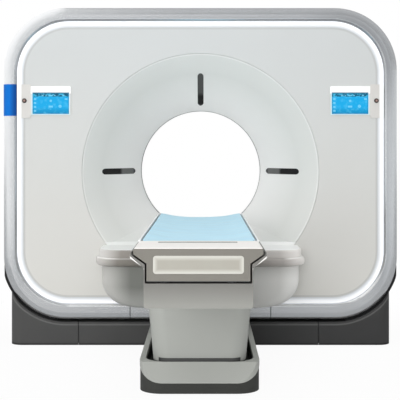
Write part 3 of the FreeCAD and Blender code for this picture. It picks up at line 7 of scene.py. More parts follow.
# %% Load the frame
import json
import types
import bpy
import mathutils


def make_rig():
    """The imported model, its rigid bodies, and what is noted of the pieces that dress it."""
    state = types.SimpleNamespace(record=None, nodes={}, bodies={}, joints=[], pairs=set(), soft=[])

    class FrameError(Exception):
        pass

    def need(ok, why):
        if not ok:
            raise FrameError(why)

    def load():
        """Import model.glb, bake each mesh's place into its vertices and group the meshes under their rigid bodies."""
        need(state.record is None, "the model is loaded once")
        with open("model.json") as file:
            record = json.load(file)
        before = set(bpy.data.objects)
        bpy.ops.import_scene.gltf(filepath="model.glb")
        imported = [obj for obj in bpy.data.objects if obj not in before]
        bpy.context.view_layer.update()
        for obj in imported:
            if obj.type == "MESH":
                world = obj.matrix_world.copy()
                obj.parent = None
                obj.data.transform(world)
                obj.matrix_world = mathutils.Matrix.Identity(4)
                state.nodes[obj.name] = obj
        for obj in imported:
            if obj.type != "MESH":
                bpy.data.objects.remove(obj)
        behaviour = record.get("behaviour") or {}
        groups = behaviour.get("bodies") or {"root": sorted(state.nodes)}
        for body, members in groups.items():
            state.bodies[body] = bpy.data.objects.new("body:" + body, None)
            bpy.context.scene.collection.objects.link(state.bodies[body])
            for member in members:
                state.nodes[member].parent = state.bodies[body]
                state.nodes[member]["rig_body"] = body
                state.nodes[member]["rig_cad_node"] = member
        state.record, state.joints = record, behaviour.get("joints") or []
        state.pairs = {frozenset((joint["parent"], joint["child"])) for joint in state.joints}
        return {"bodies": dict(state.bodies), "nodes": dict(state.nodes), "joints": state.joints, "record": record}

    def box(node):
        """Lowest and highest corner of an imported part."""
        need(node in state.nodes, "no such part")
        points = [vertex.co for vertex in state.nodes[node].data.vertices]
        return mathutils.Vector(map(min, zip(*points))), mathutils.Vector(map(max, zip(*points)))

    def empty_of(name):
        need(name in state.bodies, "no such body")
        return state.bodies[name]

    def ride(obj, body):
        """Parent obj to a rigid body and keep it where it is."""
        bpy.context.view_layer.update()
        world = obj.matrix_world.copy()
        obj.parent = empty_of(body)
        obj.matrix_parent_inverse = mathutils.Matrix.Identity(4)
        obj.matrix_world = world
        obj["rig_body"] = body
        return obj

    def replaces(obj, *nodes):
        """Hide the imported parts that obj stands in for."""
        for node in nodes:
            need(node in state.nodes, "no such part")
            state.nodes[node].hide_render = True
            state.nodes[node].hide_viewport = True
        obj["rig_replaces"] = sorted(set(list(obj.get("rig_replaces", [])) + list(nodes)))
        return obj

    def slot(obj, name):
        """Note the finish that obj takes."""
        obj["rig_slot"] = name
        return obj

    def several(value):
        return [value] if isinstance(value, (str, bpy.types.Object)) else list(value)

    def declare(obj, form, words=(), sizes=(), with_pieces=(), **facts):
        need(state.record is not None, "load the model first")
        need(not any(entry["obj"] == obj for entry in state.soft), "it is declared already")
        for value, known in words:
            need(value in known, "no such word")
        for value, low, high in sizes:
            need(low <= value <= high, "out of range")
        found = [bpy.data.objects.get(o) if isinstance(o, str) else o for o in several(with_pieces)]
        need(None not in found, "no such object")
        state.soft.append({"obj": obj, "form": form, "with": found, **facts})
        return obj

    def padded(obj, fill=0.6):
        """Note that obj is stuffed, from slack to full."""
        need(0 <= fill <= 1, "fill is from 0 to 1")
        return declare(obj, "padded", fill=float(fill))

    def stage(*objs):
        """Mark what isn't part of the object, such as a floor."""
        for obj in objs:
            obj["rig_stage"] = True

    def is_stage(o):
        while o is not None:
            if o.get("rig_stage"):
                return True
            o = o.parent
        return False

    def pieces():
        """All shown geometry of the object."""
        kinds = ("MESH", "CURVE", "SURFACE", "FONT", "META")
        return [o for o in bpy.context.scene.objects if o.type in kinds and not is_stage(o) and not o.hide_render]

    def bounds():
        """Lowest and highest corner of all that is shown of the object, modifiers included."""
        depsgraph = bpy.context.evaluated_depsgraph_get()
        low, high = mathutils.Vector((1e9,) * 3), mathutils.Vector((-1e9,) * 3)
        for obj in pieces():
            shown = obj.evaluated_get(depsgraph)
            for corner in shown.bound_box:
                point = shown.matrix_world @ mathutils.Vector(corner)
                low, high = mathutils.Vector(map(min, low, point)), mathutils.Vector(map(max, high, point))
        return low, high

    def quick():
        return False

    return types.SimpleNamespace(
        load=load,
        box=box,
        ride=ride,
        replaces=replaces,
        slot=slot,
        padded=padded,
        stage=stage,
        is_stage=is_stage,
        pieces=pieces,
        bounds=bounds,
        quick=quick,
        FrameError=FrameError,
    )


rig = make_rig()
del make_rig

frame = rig.load()
import json
import math
import bmesh
import bpy
from mathutils import Vector

cad_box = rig.bounds()
nodes = frame["nodes"]
print("nodes:", len(nodes), "box:", cad_box)

# %% [markdown]
# ## The camera
# The photo was taken level, from a little above the couch, with a long lens: its horizon lies well
# above the picture's middle. A real photographer would tilt or crop. A lens shift does the same
# without making the gantry's sides converge, so the camera stays level and its frame moves down.

# %% Camera
# In the photo's pixels:
PICTURE = 400.0
HORIZON_ROW = 152.0
VANISHING_COLUMN = 204.0
FOCAL_PIXELS = 983.0
# In millimetres, then in metres:
SENSOR = 36.0
CAMERA_DISTANCE = 5.5
CAMERA_HEIGHT = 1.080
CAMERA_SIDE = 0.020

front_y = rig.box("front_panel")[0][1]
camera_data = bpy.data.cameras.new("photo_camera")
camera_data.sensor_width = SENSOR
camera_data.lens = FOCAL_PIXELS / PICTURE * SENSOR
camera_data.shift_x = -(VANISHING_COLUMN - PICTURE / 2) / PICTURE
camera_data.shift_y = (HORIZON_ROW - PICTURE / 2) / PICTURE
camera = bpy.data.objects.new("photo_camera", camera_data)
camera.location = (CAMERA_SIDE, front_y - CAMERA_DISTANCE, CAMERA_HEIGHT)
camera.rotation_euler = (math.pi / 2, 0.0, 0.0)
bpy.context.scene.collection.objects.link(camera)
bpy.context.scene.camera = camera
bpy.context.scene.view_settings.view_transform = "Standard"
print("lens %.1f mm, shift %.3f" % (camera_data.lens, camera_data.shift_y))

# %% [markdown]
# ## Writing materials as sums
# A shader is easier to read as arithmetic than as a heap of nodes. `Field` holds one output socket
# and turns `+`, `*` and `<` into Math nodes, also when a plain number stands on its left.

# %% Field: arithmetic on sockets
class Field:
    """One value that varies over a surface."""

    def __init__(self, finish, socket):
        self.finish = finish
        self.socket = socket

    def combine(self, operation, first, second):
        return self.finish.node("ShaderNodeMath", {"operation": operation}, {0: first, 1: second})

    def __add__(self, other):
        return self.combine("ADD", self, other)

    def __radd__(self, other):
        return self.combine("ADD", other, self)

    def __sub__(self, other):
        return self.combine("SUBTRACT", self, other)

    def __rsub__(self, other):
        return self.combine("SUBTRACT", other, self)

    def __mul__(self, other):
        return self.combine("MULTIPLY", self, other)

    def __rmul__(self, other):
        return self.combine("MULTIPLY", other, self)

    def __truediv__(self, other):
        return self.combine("DIVIDE", self, other)

    def __pow__(self, other):
        return self.combine("POWER", self, other)

    def __lt__(self, other):
        return self.combine("LESS_THAN", self, other)

    def __gt__(self, other):
        return self.combine("GREATER_THAN", self, other)

    def __abs__(self):
        return self.combine("ABSOLUTE", self, 0.0)

    def or_more(self, other):
        return self.combine("MAXIMUM", self, other)

    def or_less(self, other):
        return self.combine("MINIMUM", self, other)

    def ramp(self, low, high):
        """Zero up to low, one from high on, straight between."""
        return ((self - low) / (high - low)).or_more(0.0).or_less(1.0)


print("operators:", len([word for word in vars(Field) if word.startswith("__")]))

# %% [markdown]
# ## One material in the making
# `Finish` is a material while it is written. Its `node` method adds any node from its type, its
# settings and its inputs, so a wrong socket name fails at once. The short methods below it are the
# steps that nearly every paint and plastic needs: a place, a cloud, a mix of two tones, a bump.

# %% Finish: one material
class Finish:
    """A material, with its nodes added in reading order."""

    def __init__(self, name, tree=None):
        if tree is None:
            self.material = bpy.data.materials.new(name)
            self.material.use_nodes = True
            tree = self.material.node_tree
        self.tree = tree
        self.tree.nodes.clear()

    def node(self, kind, settings=None, inputs=None, out=0):
        """Adds a node: settings first, then the values or links of its sockets."""
        made = self.tree.nodes.new(kind)
        for key, value in (settings or {}).items():
            setattr(made, key, value)
        for key, value in (inputs or {}).items():
            if isinstance(value, Field):
                self.tree.links.new(value.socket, made.inputs[key])
            else:
                made.inputs[key].default_value = value
        if isinstance(out, tuple):
            return [Field(self, made.outputs[key]) for key in out]
        return Field(self, made.outputs[out]) if made.outputs else None

    def split(self, vector):
        """The three parts of a vector, as fields."""
        return self.node("ShaderNodeSeparateXYZ", {}, {0: vector}, out=(0, 1, 2))

    def spot(self):
        """Where a point of the surface is, in metres, as one vector."""
        return self.node("ShaderNodeTexCoord", out="Object")

    def place(self):
        """Where a point of the surface is, in metres: three fields x, y, z."""
        return self.split(self.spot())

    def noise(self, scale, detail=3.0, roughness=0.5):
        """Soft random field from 0 to 1; scale is patches per metre."""
        return self.node("ShaderNodeTexNoise", {}, {"Vector": self.spot(), "Scale": scale,
                                                    "Detail": detail, "Roughness": roughness})

    def stretched(self, stretch, scale, detail):
        """Random marks drawn out along an axis: the smaller its stretch, the longer they are."""
        drawn = self.node("ShaderNodeMapping", {}, {"Vector": self.spot(), "Scale": stretch})
        return self.node("ShaderNodeTexNoise", {}, {"Vector": drawn, "Scale": scale,
                                                    "Detail": detail})

    def mix(self, factor, first, second):
        """Colour between two colours."""
        return self.node("ShaderNodeMix", {"data_type": "RGBA"}, {0: factor, 6: first, 7: second},
                         out=2)

    def drift(self, tone, other, share, scale):
        """Lets a tone wander a little way towards another, in soft patches."""
        return self.mix(self.noise(scale) * share, tone, other)

    def bump(self, height, distance, strength=1.0, under=None):
        """Small relief; under is a coarser relief that this one lies on."""
        inputs = {"Height": height, "Distance": distance, "Strength": strength}
        if under is not None:
            inputs["Normal"] = under
        return self.node("ShaderNodeBump", {}, inputs)

    def peel(self, scale=700.0, depth=0.0004, strength=0.25):
        """Orange peel: the fine pebbling of sprayed paint and moulded plastic."""
        return self.bump(self.noise(scale, 2.0, 0.5), depth, strength)

    def surface(self, **inputs):
        """Principled surface; words in names are joined by underscores."""
        named = {key.replace("_", " "): value for key, value in inputs.items()}
        shader = self.node("ShaderNodeBsdfPrincipled", {}, named)
        self.node("ShaderNodeOutputMaterial", {}, {"Surface": shader})
        return self.material


def srgb(red, green, blue):
    """A colour seen in a picture, 0 to 255, as the linear light that a shader needs."""
    linear = [((c / 255 + 0.055) / 1.055) ** 2.4 for c in (red, green, blue)]
    return (*linear, 1.0)


print("white is", srgb(255, 255, 255))

# %% [markdown]
# ## Paint and moulding
# Painted mouldings look alike until light rakes over them: then a fine orange peel shows, and the
# gloss varies a little where hands and cloths have been. Each finish below has one colour that
# drifts by a few percent, one gloss field and one bump at its own scale. Machined metal is another
# matter: its tone, gloss and relief all follow the same tool marks.

# %% Painted, moulded and metal finishes
def scaled(colour, share):
    """A colour with its light multiplied, and never past white."""
    return tuple(min(1.0, c * share) for c in colour[:3]) + (1.0,)


def moulding(name, colour, roughness, peel, drift=0.04, coat=0.0, metallic=0.0):
    """Painted or moulded skin: drift of tone, drift of gloss, and orange peel."""
    finish = Finish(name)
    cloud = finish.noise(3.0, 4.0, 0.55)
    tone = finish.mix(cloud, scaled(colour, 1 - drift), scaled(colour, 1 + drift))
    gloss = roughness - 0.05 + 0.10 * finish.noise(11.0, 3.0, 0.6)
    return finish.surface(Base_Color=tone, Roughness=gloss, Metallic=metallic, Coat_Weight=coat,
                          Coat_Roughness=0.2, Normal=finish.peel(peel))


def brushed(name, colour, roughness, stretch):
    """Machined metal with marks drawn out along one axis."""
    finish = Finish(name)
    marks = finish.stretched(stretch, 60.0, 4.0)
    tone = finish.mix(marks, scaled(colour, 0.82), colour)
    gloss = roughness - 0.08 + 0.16 * marks
    skin = finish.bump(marks, 0.0003, 0.3)
    return finish.surface(Base_Color=tone, Roughness=gloss, Metallic=1.0, Normal=skin)


finishes = {
    "panel_white": moulding("panel_white", srgb(218, 220, 216), 0.42, 700.0, 0.02),
    "cover_grey": moulding("cover_grey", srgb(208, 210, 208), 0.50, 700.0, 0.03),
    "collar_dark": moulding("collar_dark", srgb(48, 46, 46), 0.45, 900.0),
    "steel_frame": moulding("steel_frame", srgb(96, 100, 104), 0.60, 400.0, 0.10),
    "cast_frame": moulding("cast_frame", srgb(128, 132, 136), 0.62, 260.0, 0.12),
    "carbon": moulding("carbon", srgb(38, 38, 40), 0.65, 600.0, 0.2),
    "cabinet": moulding("cabinet", srgb(150, 153, 156), 0.55, 900.0, 0.05),
    "fan_black": moulding("fan_black", srgb(34, 34, 35), 0.50, 700.0, 0.1),
    "rotor_paint": moulding("rotor_paint", srgb(160, 163, 168), 0.45, 500.0, 0.06, 0.0, 0.5),
    "module": moulding("module", srgb(140, 144, 150), 0.50, 800.0, 0.06),
    "column_grey": moulding("column_grey", srgb(172, 174, 169), 0.46, 700.0, 0.02),
    "cradle_white": moulding("cradle_white", srgb(246, 248, 248), 0.40, 700.0, 0.02),
    "shroud_grey": moulding("shroud_grey", srgb(92, 93, 92), 0.55, 700.0, 0.05),
    "bearing_steel": brushed("bearing_steel", srgb(190, 192, 195), 0.28, (1.0, 30.0, 1.0)),
    "machined": brushed("machined", srgb(196, 198, 200), 0.25, (30.0, 30.0, 1.0)),
    "aluminium": brushed("aluminium", srgb(205, 206, 207), 0.35, (20.0, 1.0, 20.0)),
    "coil": moulding("coil", srgb(150, 92, 48), 0.40, 300.0, 0.2, 0.3),
}
print("finishes:", len(finishes))

# %% [markdown]
# ## Finishes that follow the shape
# Some pieces aren't one tone all over, and much of that is painted light and shade. The silver frame
# has painted shade in the hollow beside the light band. The panel is cooler above and warmer below.
# The funnel is a purer white than the panel, with painted light at its throat, and its lip has painted
# shade. Masks painted by hand would need an image. Measuring the surface's place on the object needs
# none: its height, its distance from the bore's axis, or its distance from the rounded edge of the
# window that the panel fills.

# %% Distances on the gantry's face
WINDOW_ROUND = 0.292
OUTER_ROUND = 0.350
BAND = 0.036
BORE_Z = 0.968
window_low, window_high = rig.box("light_band")
outer_low, outer_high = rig.box("front_frame")


def outline_distance(x, z, low, high, corner):
    """How far outside a rounded rectangle a point is; inside it's negative."""
    over_x = abs(x) - (high[0] - corner)
    over_z = abs(z - (low[2] + high[2]) / 2) - ((high[2] - low[2]) / 2 - corner)
    bend = (over_x.or_more(0.0) ** 2 + over_z.or_more(0.0) ** 2) ** 0.5
    return bend + over_x.or_more(over_z).or_less(0.0) - corner


def window_distance(x, z):
    """Distance from the frame's inner edge, where the light band starts."""
    return outline_distance(x, z, window_low, window_high, WINDOW_ROUND)


def frame_distance(x, z):
    """Distance from the frame's outer edge, which the base covers wrap."""
    return outline_distance(x, z, outer_low, outer_high, OUTER_ROUND)


def near(field, value, reach):
    """One within reach of a value."""
    return abs(field - value) < reach


print("window:", window_low, window_high)

# %% [markdown]
# ## The silver frame
# The frame round the gantry is a rolled moulding in satin silver lacquer. A soft mirror gives it its
# looks, so most of its tone comes from the room that it mirrors, which is built at the end. Painted
# shade darkens the hollow beside the band, which catches less of the room, and a strip at the upper
# right. At the frame's foot, which faces up into the light, the hollow's painted shade is left out.
# Paint also gives the two dark seams of the middle piece at the bottom.

# %% Silver frame
SHADED_HOLLOW_WIDTH = 0.075
LIT_FRAME_FOOT = (0.24, 0.45)
SHADE_STRIP_ACROSS = (0.55, 0.90)
SHADE_STRIP_UP = (1.25, 1.55)
SHADE_STRIP_WIDTH = (0.03, 0.07)
SEAM_HALF = 0.003
SEAM_TOP = 0.3
seam_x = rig.box("frame_centre_piece")[1][0]


def frame_skin():
    """Satin silver lacquer over metal: a soft mirror, with painted shade in the hollow by the band."""
    finish = Finish("frame_silver")
    x, y, z = finish.place()
    from_window = window_distance(x, z)
    # Painted shade in the hollow by the band, left out at the foot, where the edge faces up into the light.
    out = from_window.ramp(0.0, SHADED_HOLLOW_WIDTH).or_more(1.0 - z.ramp(*LIT_FRAME_FOOT))
    tone = finish.mix(out, srgb(198, 201, 204), srgb(252, 253, 254))
    tone = finish.drift(tone, srgb(205, 208, 211), 0.12, 3.0)
    # Painted shade strip at the upper right.
    strip = x.ramp(*SHADE_STRIP_ACROSS) * z.ramp(*SHADE_STRIP_UP) * (1.0 - from_window.ramp(*SHADE_STRIP_WIDTH))
    tone = finish.mix(strip * 0.45, tone, srgb(150, 152, 155))
    seam = near(abs(x), seam_x, SEAM_HALF) * (z < SEAM_TOP)
    tone = finish.mix(seam * 0.6, tone, srgb(60, 62, 64))
    gloss = 0.21 + 0.06 * finish.noise(11.0, 3.0, 0.6)
    return finish.surface(Base_Color=tone, Roughness=gloss, Metallic=0.85,
                          Normal=finish.peel(900.0))


finishes["frame_silver"] = frame_skin()
print("seams of the middle piece at x =", seam_x)

# %% [markdown]
# ## The front panel
# One large vacuum-formed sheet, off-white, between the band and the funnel. It takes the room's
# cool light above and the floor's warmth below, so its colour runs between two near tones with
# height, and a fine line of shade follows the band. A stronger lamp would do it too, but would
# change every other piece with it.

# %% Front panel
PANEL_RUN = (0.3, 1.7)
SHADE_LINE = 0.005


def panel_skin():
    """Cool white above, warmer below, with a fine shadow line beside the band."""
    finish = Finish("front_panel_white")
    x, y, z = finish.place()
    tone = finish.mix(z.ramp(*PANEL_RUN), srgb(215, 214, 209), srgb(201, 204, 204))
    tone = finish.drift(tone, srgb(204, 206, 203), 0.10, 3.0)
    beside_band = near(window_distance(x, z), -BAND - SHADE_LINE, SHADE_LINE)
    tone = finish.mix(beside_band * 0.5, tone, srgb(180, 181, 180))
    gloss = 0.40 + 0.08 * finish.noise(11.0, 3.0, 0.6)
    return finish.surface(Base_Color=tone, Roughness=gloss, Normal=finish.peel())


panel_finish = panel_skin()
print("made:", panel_finish.name)

# %% [markdown]
# ## The funnel
# The flared funnel leads into the bore and turns into a flat deck beside the couch. Painted light
# makes it brightest at the throat and lighter on the right of the deck, a painted highlight runs round
# its mouth, and painted shade lies on the front face of the deck's lip towards the couch. The inner
# ends of its three slots are round, so a dark half-round is painted there in front of the glass.

# %% Funnel
# Distances from the bore's axis:
THROAT_LIGHT_RUN = (0.37, 0.56)
FUNNEL_MOUTH = 0.662
MOUTH_INSET = 0.004
MOUTH_HIGHLIGHT = 0.003
# The deck and its lip:
DECK_LIGHT_ACROSS = (-0.3, 0.3)
LIP_TOP = 0.5575
DECK_TOP = 0.575
LIP_FRONT = -0.474
# The slots' round ends: distance from the axis, reach and half height.
SLOT_END = 0.407
SLOT_END_REACH = 0.018
SLOT_HALF = 0.017
# From shade by the couch to full light, on either side:
LIP_SHADE_LEFT = (0.42, 0.54)
SHADE_RIGHT = (0.42, 0.52)


def slot_ends(x, high):
    """One in the round inner ends of the slots: left, right and top."""
    side = ((abs(x) - SLOT_END) / SLOT_END_REACH) ** 2 + (high / SLOT_HALF) ** 2
    top = ((high - SLOT_END) / SLOT_END_REACH) ** 2 + (x / SLOT_HALF) ** 2
    return side.or_less(top) < 1.0


def funnel_skin():
    """Pure white moulding; painted light at throat and deck, painted highlight at mouth, painted lip shade."""
    finish = Finish("funnel_white")
    x, y, z = finish.place()
    high = z - BORE_Z
    radius = (x ** 2 + high ** 2) ** 0.5
    # Painted light: brightest at the throat, paler towards the mouth.
    tone = finish.mix(radius.ramp(*THROAT_LIGHT_RUN), srgb(254, 254, 253), srgb(220, 222, 219))
    # Painted highlight along the mouth's edge.
    rim = near(radius, FUNNEL_MOUTH - MOUTH_INSET, MOUTH_HIGHLIGHT)
    tone = finish.mix(rim * 0.6, tone, srgb(246, 247, 245))
    tone = finish.drift(tone, srgb(216, 219, 216), 0.10, 3.0)
    # Painted light on the deck, lighter towards the right.
    deck = finish.mix(x.ramp(*DECK_LIGHT_ACROSS), srgb(238, 240, 238), srgb(250, 251, 250))
    tone = finish.mix((z < DECK_TOP) * (z > LIP_TOP), tone, deck)
    tone = finish.mix(slot_ends(x, high), tone, srgb(44, 45, 46))
    # Painted shade on the lip's front face, deepest towards the couch.
    lip_left = finish.mix(abs(x).ramp(*LIP_SHADE_LEFT), srgb(148, 143, 137), srgb(222, 220, 217))
    lip_right = finish.mix(abs(x).ramp(*SHADE_RIGHT), srgb(206, 202, 198), srgb(246, 243, 239))
    lip = (z < LIP_TOP) * (y < LIP_FRONT)
    tone = finish.mix(lip, tone, finish.mix(x > 0.0, lip_left, lip_right))
    gloss = 0.40 + 0.08 * finish.noise(11.0, 3.0, 0.6)
    return finish.surface(Base_Color=tone, Roughness=gloss, Normal=finish.peel())


funnel_finish = funnel_skin()
print("made:", funnel_finish.name)

# %% [markdown]
# ## Scan window and laser windows
# The beam leaves through a ring of clear grey plastic at the bore's waist, and the positioning
# lasers shine through three narrow windows of dark glass, each half covered by a grey shutter.
# Real transparency would show the machine behind, which the covers' shade hides anyway, so both
# are dark glossy solids whose tone follows the distance from the bore's axis.

# %% Clear ring and laser glass
RING_SEAL = (-0.040, -0.005)
# Each shutter fades in and out at these distances from the bore's axis:
SIDE_SHUTTER = (0.375, 0.390, 0.455, 0.468)
TOP_SHUTTER = (0.44, 0.46, 0.56, 0.58)
BESIDE_AXIS = 0.1


def between(field, rise_low, rise_high, fall_low, fall_high):
    """One between two fading edges."""
    return field.ramp(rise_low, rise_high) * (1.0 - field.ramp(fall_low, fall_high))


def ring_skin():
    """Scan window: translucent grey plastic with a dark seal at its front edge."""
    finish = Finish("clear_ring")
    x, y, z = finish.place()
    tone = finish.mix(y.ramp(*RING_SEAL), srgb(96, 98, 98), srgb(168, 171, 172))
    tone = finish.drift(tone, srgb(130, 132, 132), 0.15, 8.0)
    return finish.surface(Base_Color=tone, Roughness=0.36 + 0.06 * finish.noise(9.0))


def laser_skin():
    """Dark glass with a grey shutter: the side slots' inner half, the top slot's outer half."""
    finish = Finish("laser_glass")
    x, y, z = finish.place()
    radius = (x ** 2 + (z - BORE_Z) ** 2) ** 0.5
    side = between(radius, *SIDE_SHUTTER) * (abs(x) > BESIDE_AXIS)
    top = between(radius, *TOP_SHUTTER) * (abs(x) < BESIDE_AXIS)
    tone = finish.mix(side, srgb(14, 14, 15), srgb(106, 107, 106))
    tone = finish.mix(top * 0.6, tone, srgb(100, 101, 100))
    tone = finish.drift(tone, srgb(50, 51, 52), 0.15, 30.0)
    return finish.surface(Base_Color=tone, Roughness=0.30 + 0.05 * finish.noise(20.0),
                          Specular_IOR_Level=0.25)


finishes["clear_ring"] = ring_skin()
finishes["laser_glass"] = laser_skin()
print("made: clear_ring, laser_glass")

# %% [markdown]
# ## Chin bowls and their ledges
# Under the deck hang two hollow bowls, with a rolled ledge between lip and bowl. Both have painted
# light at their outer ends and painted shade towards the couch, more on the left, with painted shade
# under the lip and painted light at the bottom. The lamps here are in front and can't give that, so
# the light and shade are painted. The ledge's top edge has a painted highlight, and a thin painted
# shade lies at its foot.

# %% Bowl and ledge finishes
LEDGE_LOW = 0.472
LEDGE_HIGH = 0.517
BOWL_SHADE_LEFT = (0.37, 0.54)
BOWL_SHADE_UNDER_LIP = (0.40, 0.47)
BOWL_LIT_BOTTOM = (0.24, 0.36)
LEDGE_SHADE = (0.44, 0.56)
TOP_EDGE_HIGHLIGHT = (LEDGE_HIGH - 0.010, LEDGE_HIGH - 0.003)
FOOT_SHADE_LINE = (LEDGE_LOW + 0.002, LEDGE_LOW + 0.006)
LEAST_LIGHT = 0.35
LIGHT_LEFT = (0.38, 0.50)
LIGHT_RIGHT = (0.44, 0.48)


def bowl_skin():
    """Chin bowls: painted shade towards the couch and under the lip, painted light at ends and bottom."""
    finish = Finish("chin_bowl_grey")
    x, y, z = finish.place()
    # Painted shade towards the couch, painted light at the outer ends.
    left = finish.mix(abs(x).ramp(*BOWL_SHADE_LEFT), srgb(116, 118, 113), srgb(208, 207, 203))
    right = finish.mix(abs(x).ramp(*SHADE_RIGHT), srgb(220, 220, 217), srgb(246, 246, 243))
    tone = finish.mix(x > 0.0, left, right)
    # Painted shade under the lip.
    tone = finish.mix(z.ramp(*BOWL_SHADE_UNDER_LIP) * 0.2, tone, srgb(128, 126, 121))
    # Painted light at the bottom.
    tone = finish.mix((1.0 - z.ramp(*BOWL_LIT_BOTTOM)) * 0.45, tone, srgb(236, 236, 233))
    tone = finish.drift(tone, srgb(180, 180, 176), 0.10, 4.0)
    return finish.surface(Base_Color=tone, Roughness=0.44 + 0.06 * finish.noise(9.0),
                          Normal=finish.peel())


def ledge_skin():
    """The rolled ledge between lip and bowl: painted highlight along its top, painted shade on its face."""
    finish = Finish("chin_ledge_grey")
    x, y, z = finish.place()
    # Painted shade on the face towards the couch, lighter at the outer ends.
    inner = finish.mix(x > 0.0, srgb(126, 122, 115), srgb(172, 167, 163))
    outer = finish.mix(x > 0.0, srgb(208, 205, 201), srgb(246, 243, 239))
    tone = finish.mix(abs(x).ramp(*LEDGE_SHADE), inner, outer)
    # Painted highlight along the top edge, strongest at the outer ends.
    left_light = abs(x).ramp(*LIGHT_LEFT).or_more(LEAST_LIGHT) * (x < 0.0)
    light = left_light.or_more(x.ramp(*LIGHT_RIGHT))
    tone = finish.mix(z.ramp(*TOP_EDGE_HIGHLIGHT) * light, tone, srgb(240, 239, 236))
    # Painted shade along the foot.
    foot = 1.0 - z.ramp(*FOOT_SHADE_LINE)
    tone = finish.mix(foot * 0.2, tone, srgb(118, 115, 110))
    tone = finish.drift(tone, srgb(180, 178, 174), 0.10, 6.0)
    return finish.surface(Base_Color=tone, Roughness=0.42 + 0.06 * finish.noise(9.0))


bowl_finish = bowl_skin()
ledge_finish = ledge_skin()
print("made:", bowl_finish.name, ledge_finish.name)

# %% [markdown]
# ## Dark base and couch foot
# The gantry stands in a dark plastic skirt in three covers, and the couch on a skirted foot of the
# same plastic. Cleaning machines scuff such skirts, so their tone is cloudy. The covers' seams are
# too fine for geometry, so they are drawn where the middle cover ends. A painted shadow runs along
# the floor, and a painted highlight along the base's edge under the frame.

# %% Base covers and foot
base_seams = (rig.box("base_cover_centre")[0][0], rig.box("base_cover_centre")[1][0])
foot_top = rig.box("couch_base")[1][2]
BASE_RUN = (-0.5, 0.9)
# Distance of the painted highlight on the base's edge from the frame, and half its width:
BASE_EDGE_HIGHLIGHT = (0.026, 0.004)
BASE_HIGHLIGHT_BACK = -0.3
FLOOR_SHADE = 0.012
ARM_CAP = 0.006


def base_skin():
    """Dark plastic, lighter on the left: a painted floor shadow, a painted edge highlight, dark seams."""
    finish = Finish("base_dark")
    x, y, z = finish.place()
    cloud = finish.noise(4.0, 4.0, 0.6)
    left = finish.mix(cloud, srgb(68, 68, 68), srgb(80, 80, 79))
    tone = finish.mix(x.ramp(*BASE_RUN), left, srgb(58, 58, 58))
    seam = near(x, base_seams[0], SEAM_HALF).or_more(near(x, base_seams[1], SEAM_HALF)) * (y < 0.0)
    # Painted highlight along the base's edge under the frame.
    lip = near(frame_distance(x, z), *BASE_EDGE_HIGHLIGHT)
    tone = finish.mix(lip * 0.4 * (y < BASE_HIGHLIGHT_BACK), tone, srgb(128, 128, 127))
    # Dark seams, and a painted contact shadow along the floor.
    dark = (seam * 0.7).or_more((z < FLOOR_SHADE) * 0.6)
    tone = finish.mix(dark, tone, srgb(24, 24, 25))
    return finish.surface(Base_Color=tone, Roughness=0.50 + 0.12 * cloud,
                          Normal=finish.peel(1100.0, 0.0005, 0.3))


def foot_skin():
    """Foot of the couch: dark skirt, with the pale rim colour along the top of its arms."""
    finish = Finish("foot_dark")
    x, y, z = finish.place()
    tone = finish.mix(finish.noise(4.0, 4.0, 0.6), srgb(54, 55, 52), srgb(62, 63, 60))
    tone = finish.mix(z > foot_top - ARM_CAP, tone, srgb(212, 214, 209))
    return finish.surface(Base_Color=tone, Roughness=0.52 + 0.08 * finish.noise(9.0),
                          Normal=finish.peel(1100.0, 0.0005, 0.3))


finishes["base_dark"] = base_skin()
foot_finish = foot_skin()
print("base seams at x =", base_seams, "foot's top at z =", foot_top)

# %% [markdown]
# ## The couch's end
# The cap that closes the couch's foot end is taupe and near white on top, with a fine slot before the
# pad, and it carries a lighter panel with a moulded border. Painted shade lies in the slot and along
# the cap's foot. Behind it the grey housing has painted shade under the cap and a painted highlight
# on the lips along its chamfers. The top, the border, the slot and the lips are a few millimetres
# thick and never move apart, so they are painted by height and by distance from the piece's own edges.

# %% Foot cap, its panel and the housing
WHITE_TOP_FOOT = 0.7335
CAP_SHADOW_FOOT = 0.6175
# Middle and half size of the slot, along the couch and across it:
PAD_SLOT_Y = (-2.220, 0.020)
PAD_SLOT_X = (-0.004, 0.151)
PANEL_BORDER = (0.004, 0.018)
HOUSING_SHADE_RUN = (0.53, 0.61)
# The chamfer's plane: its slope outwards and down, and where the painted highlight on its lip starts.
CHAMFER_OUT = 0.673
CHAMFER_DOWN = 0.739
CHAMFER_HIGHLIGHT_FROM = -0.3578
CHAMFER_FOOT = 0.66


def face_of(node):
    """Middle and half size of a piece's front face: x, z, half width, half height."""
    low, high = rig.box(node)
    middle_x = (low[0] + high[0]) / 2
    middle_z = (low[2] + high[2]) / 2
    return middle_x, middle_z, (high[0] - low[0]) / 2, (high[2] - low[2]) / 2


def cap_skin():
    """Taupe end of the couch, near white on top, with painted shade in the fine slot and at its foot."""
    finish = Finish("cap_taupe")
    x, y, z = finish.place()
    tone = finish.mix(finish.noise(5.0), srgb(122, 119, 112), srgb(129, 126, 119))
    plate = z > WHITE_TOP_FOOT
    tone = finish.mix(plate, tone, srgb(250, 247, 243))
    # Painted shade in the fine slot, and a painted shadow along the cap's foot.
    slot = near(y, *PAD_SLOT_Y) * near(x, *PAD_SLOT_X) * plate
    foot = z < CAP_SHADOW_FOOT
    tone = finish.mix((slot * 0.8).or_more(foot * 0.9), tone, srgb(60, 64, 66))
    return finish.surface(Base_Color=tone, Roughness=0.42 + 0.08 * finish.noise(9.0),
                          Normal=finish.peel(800.0))


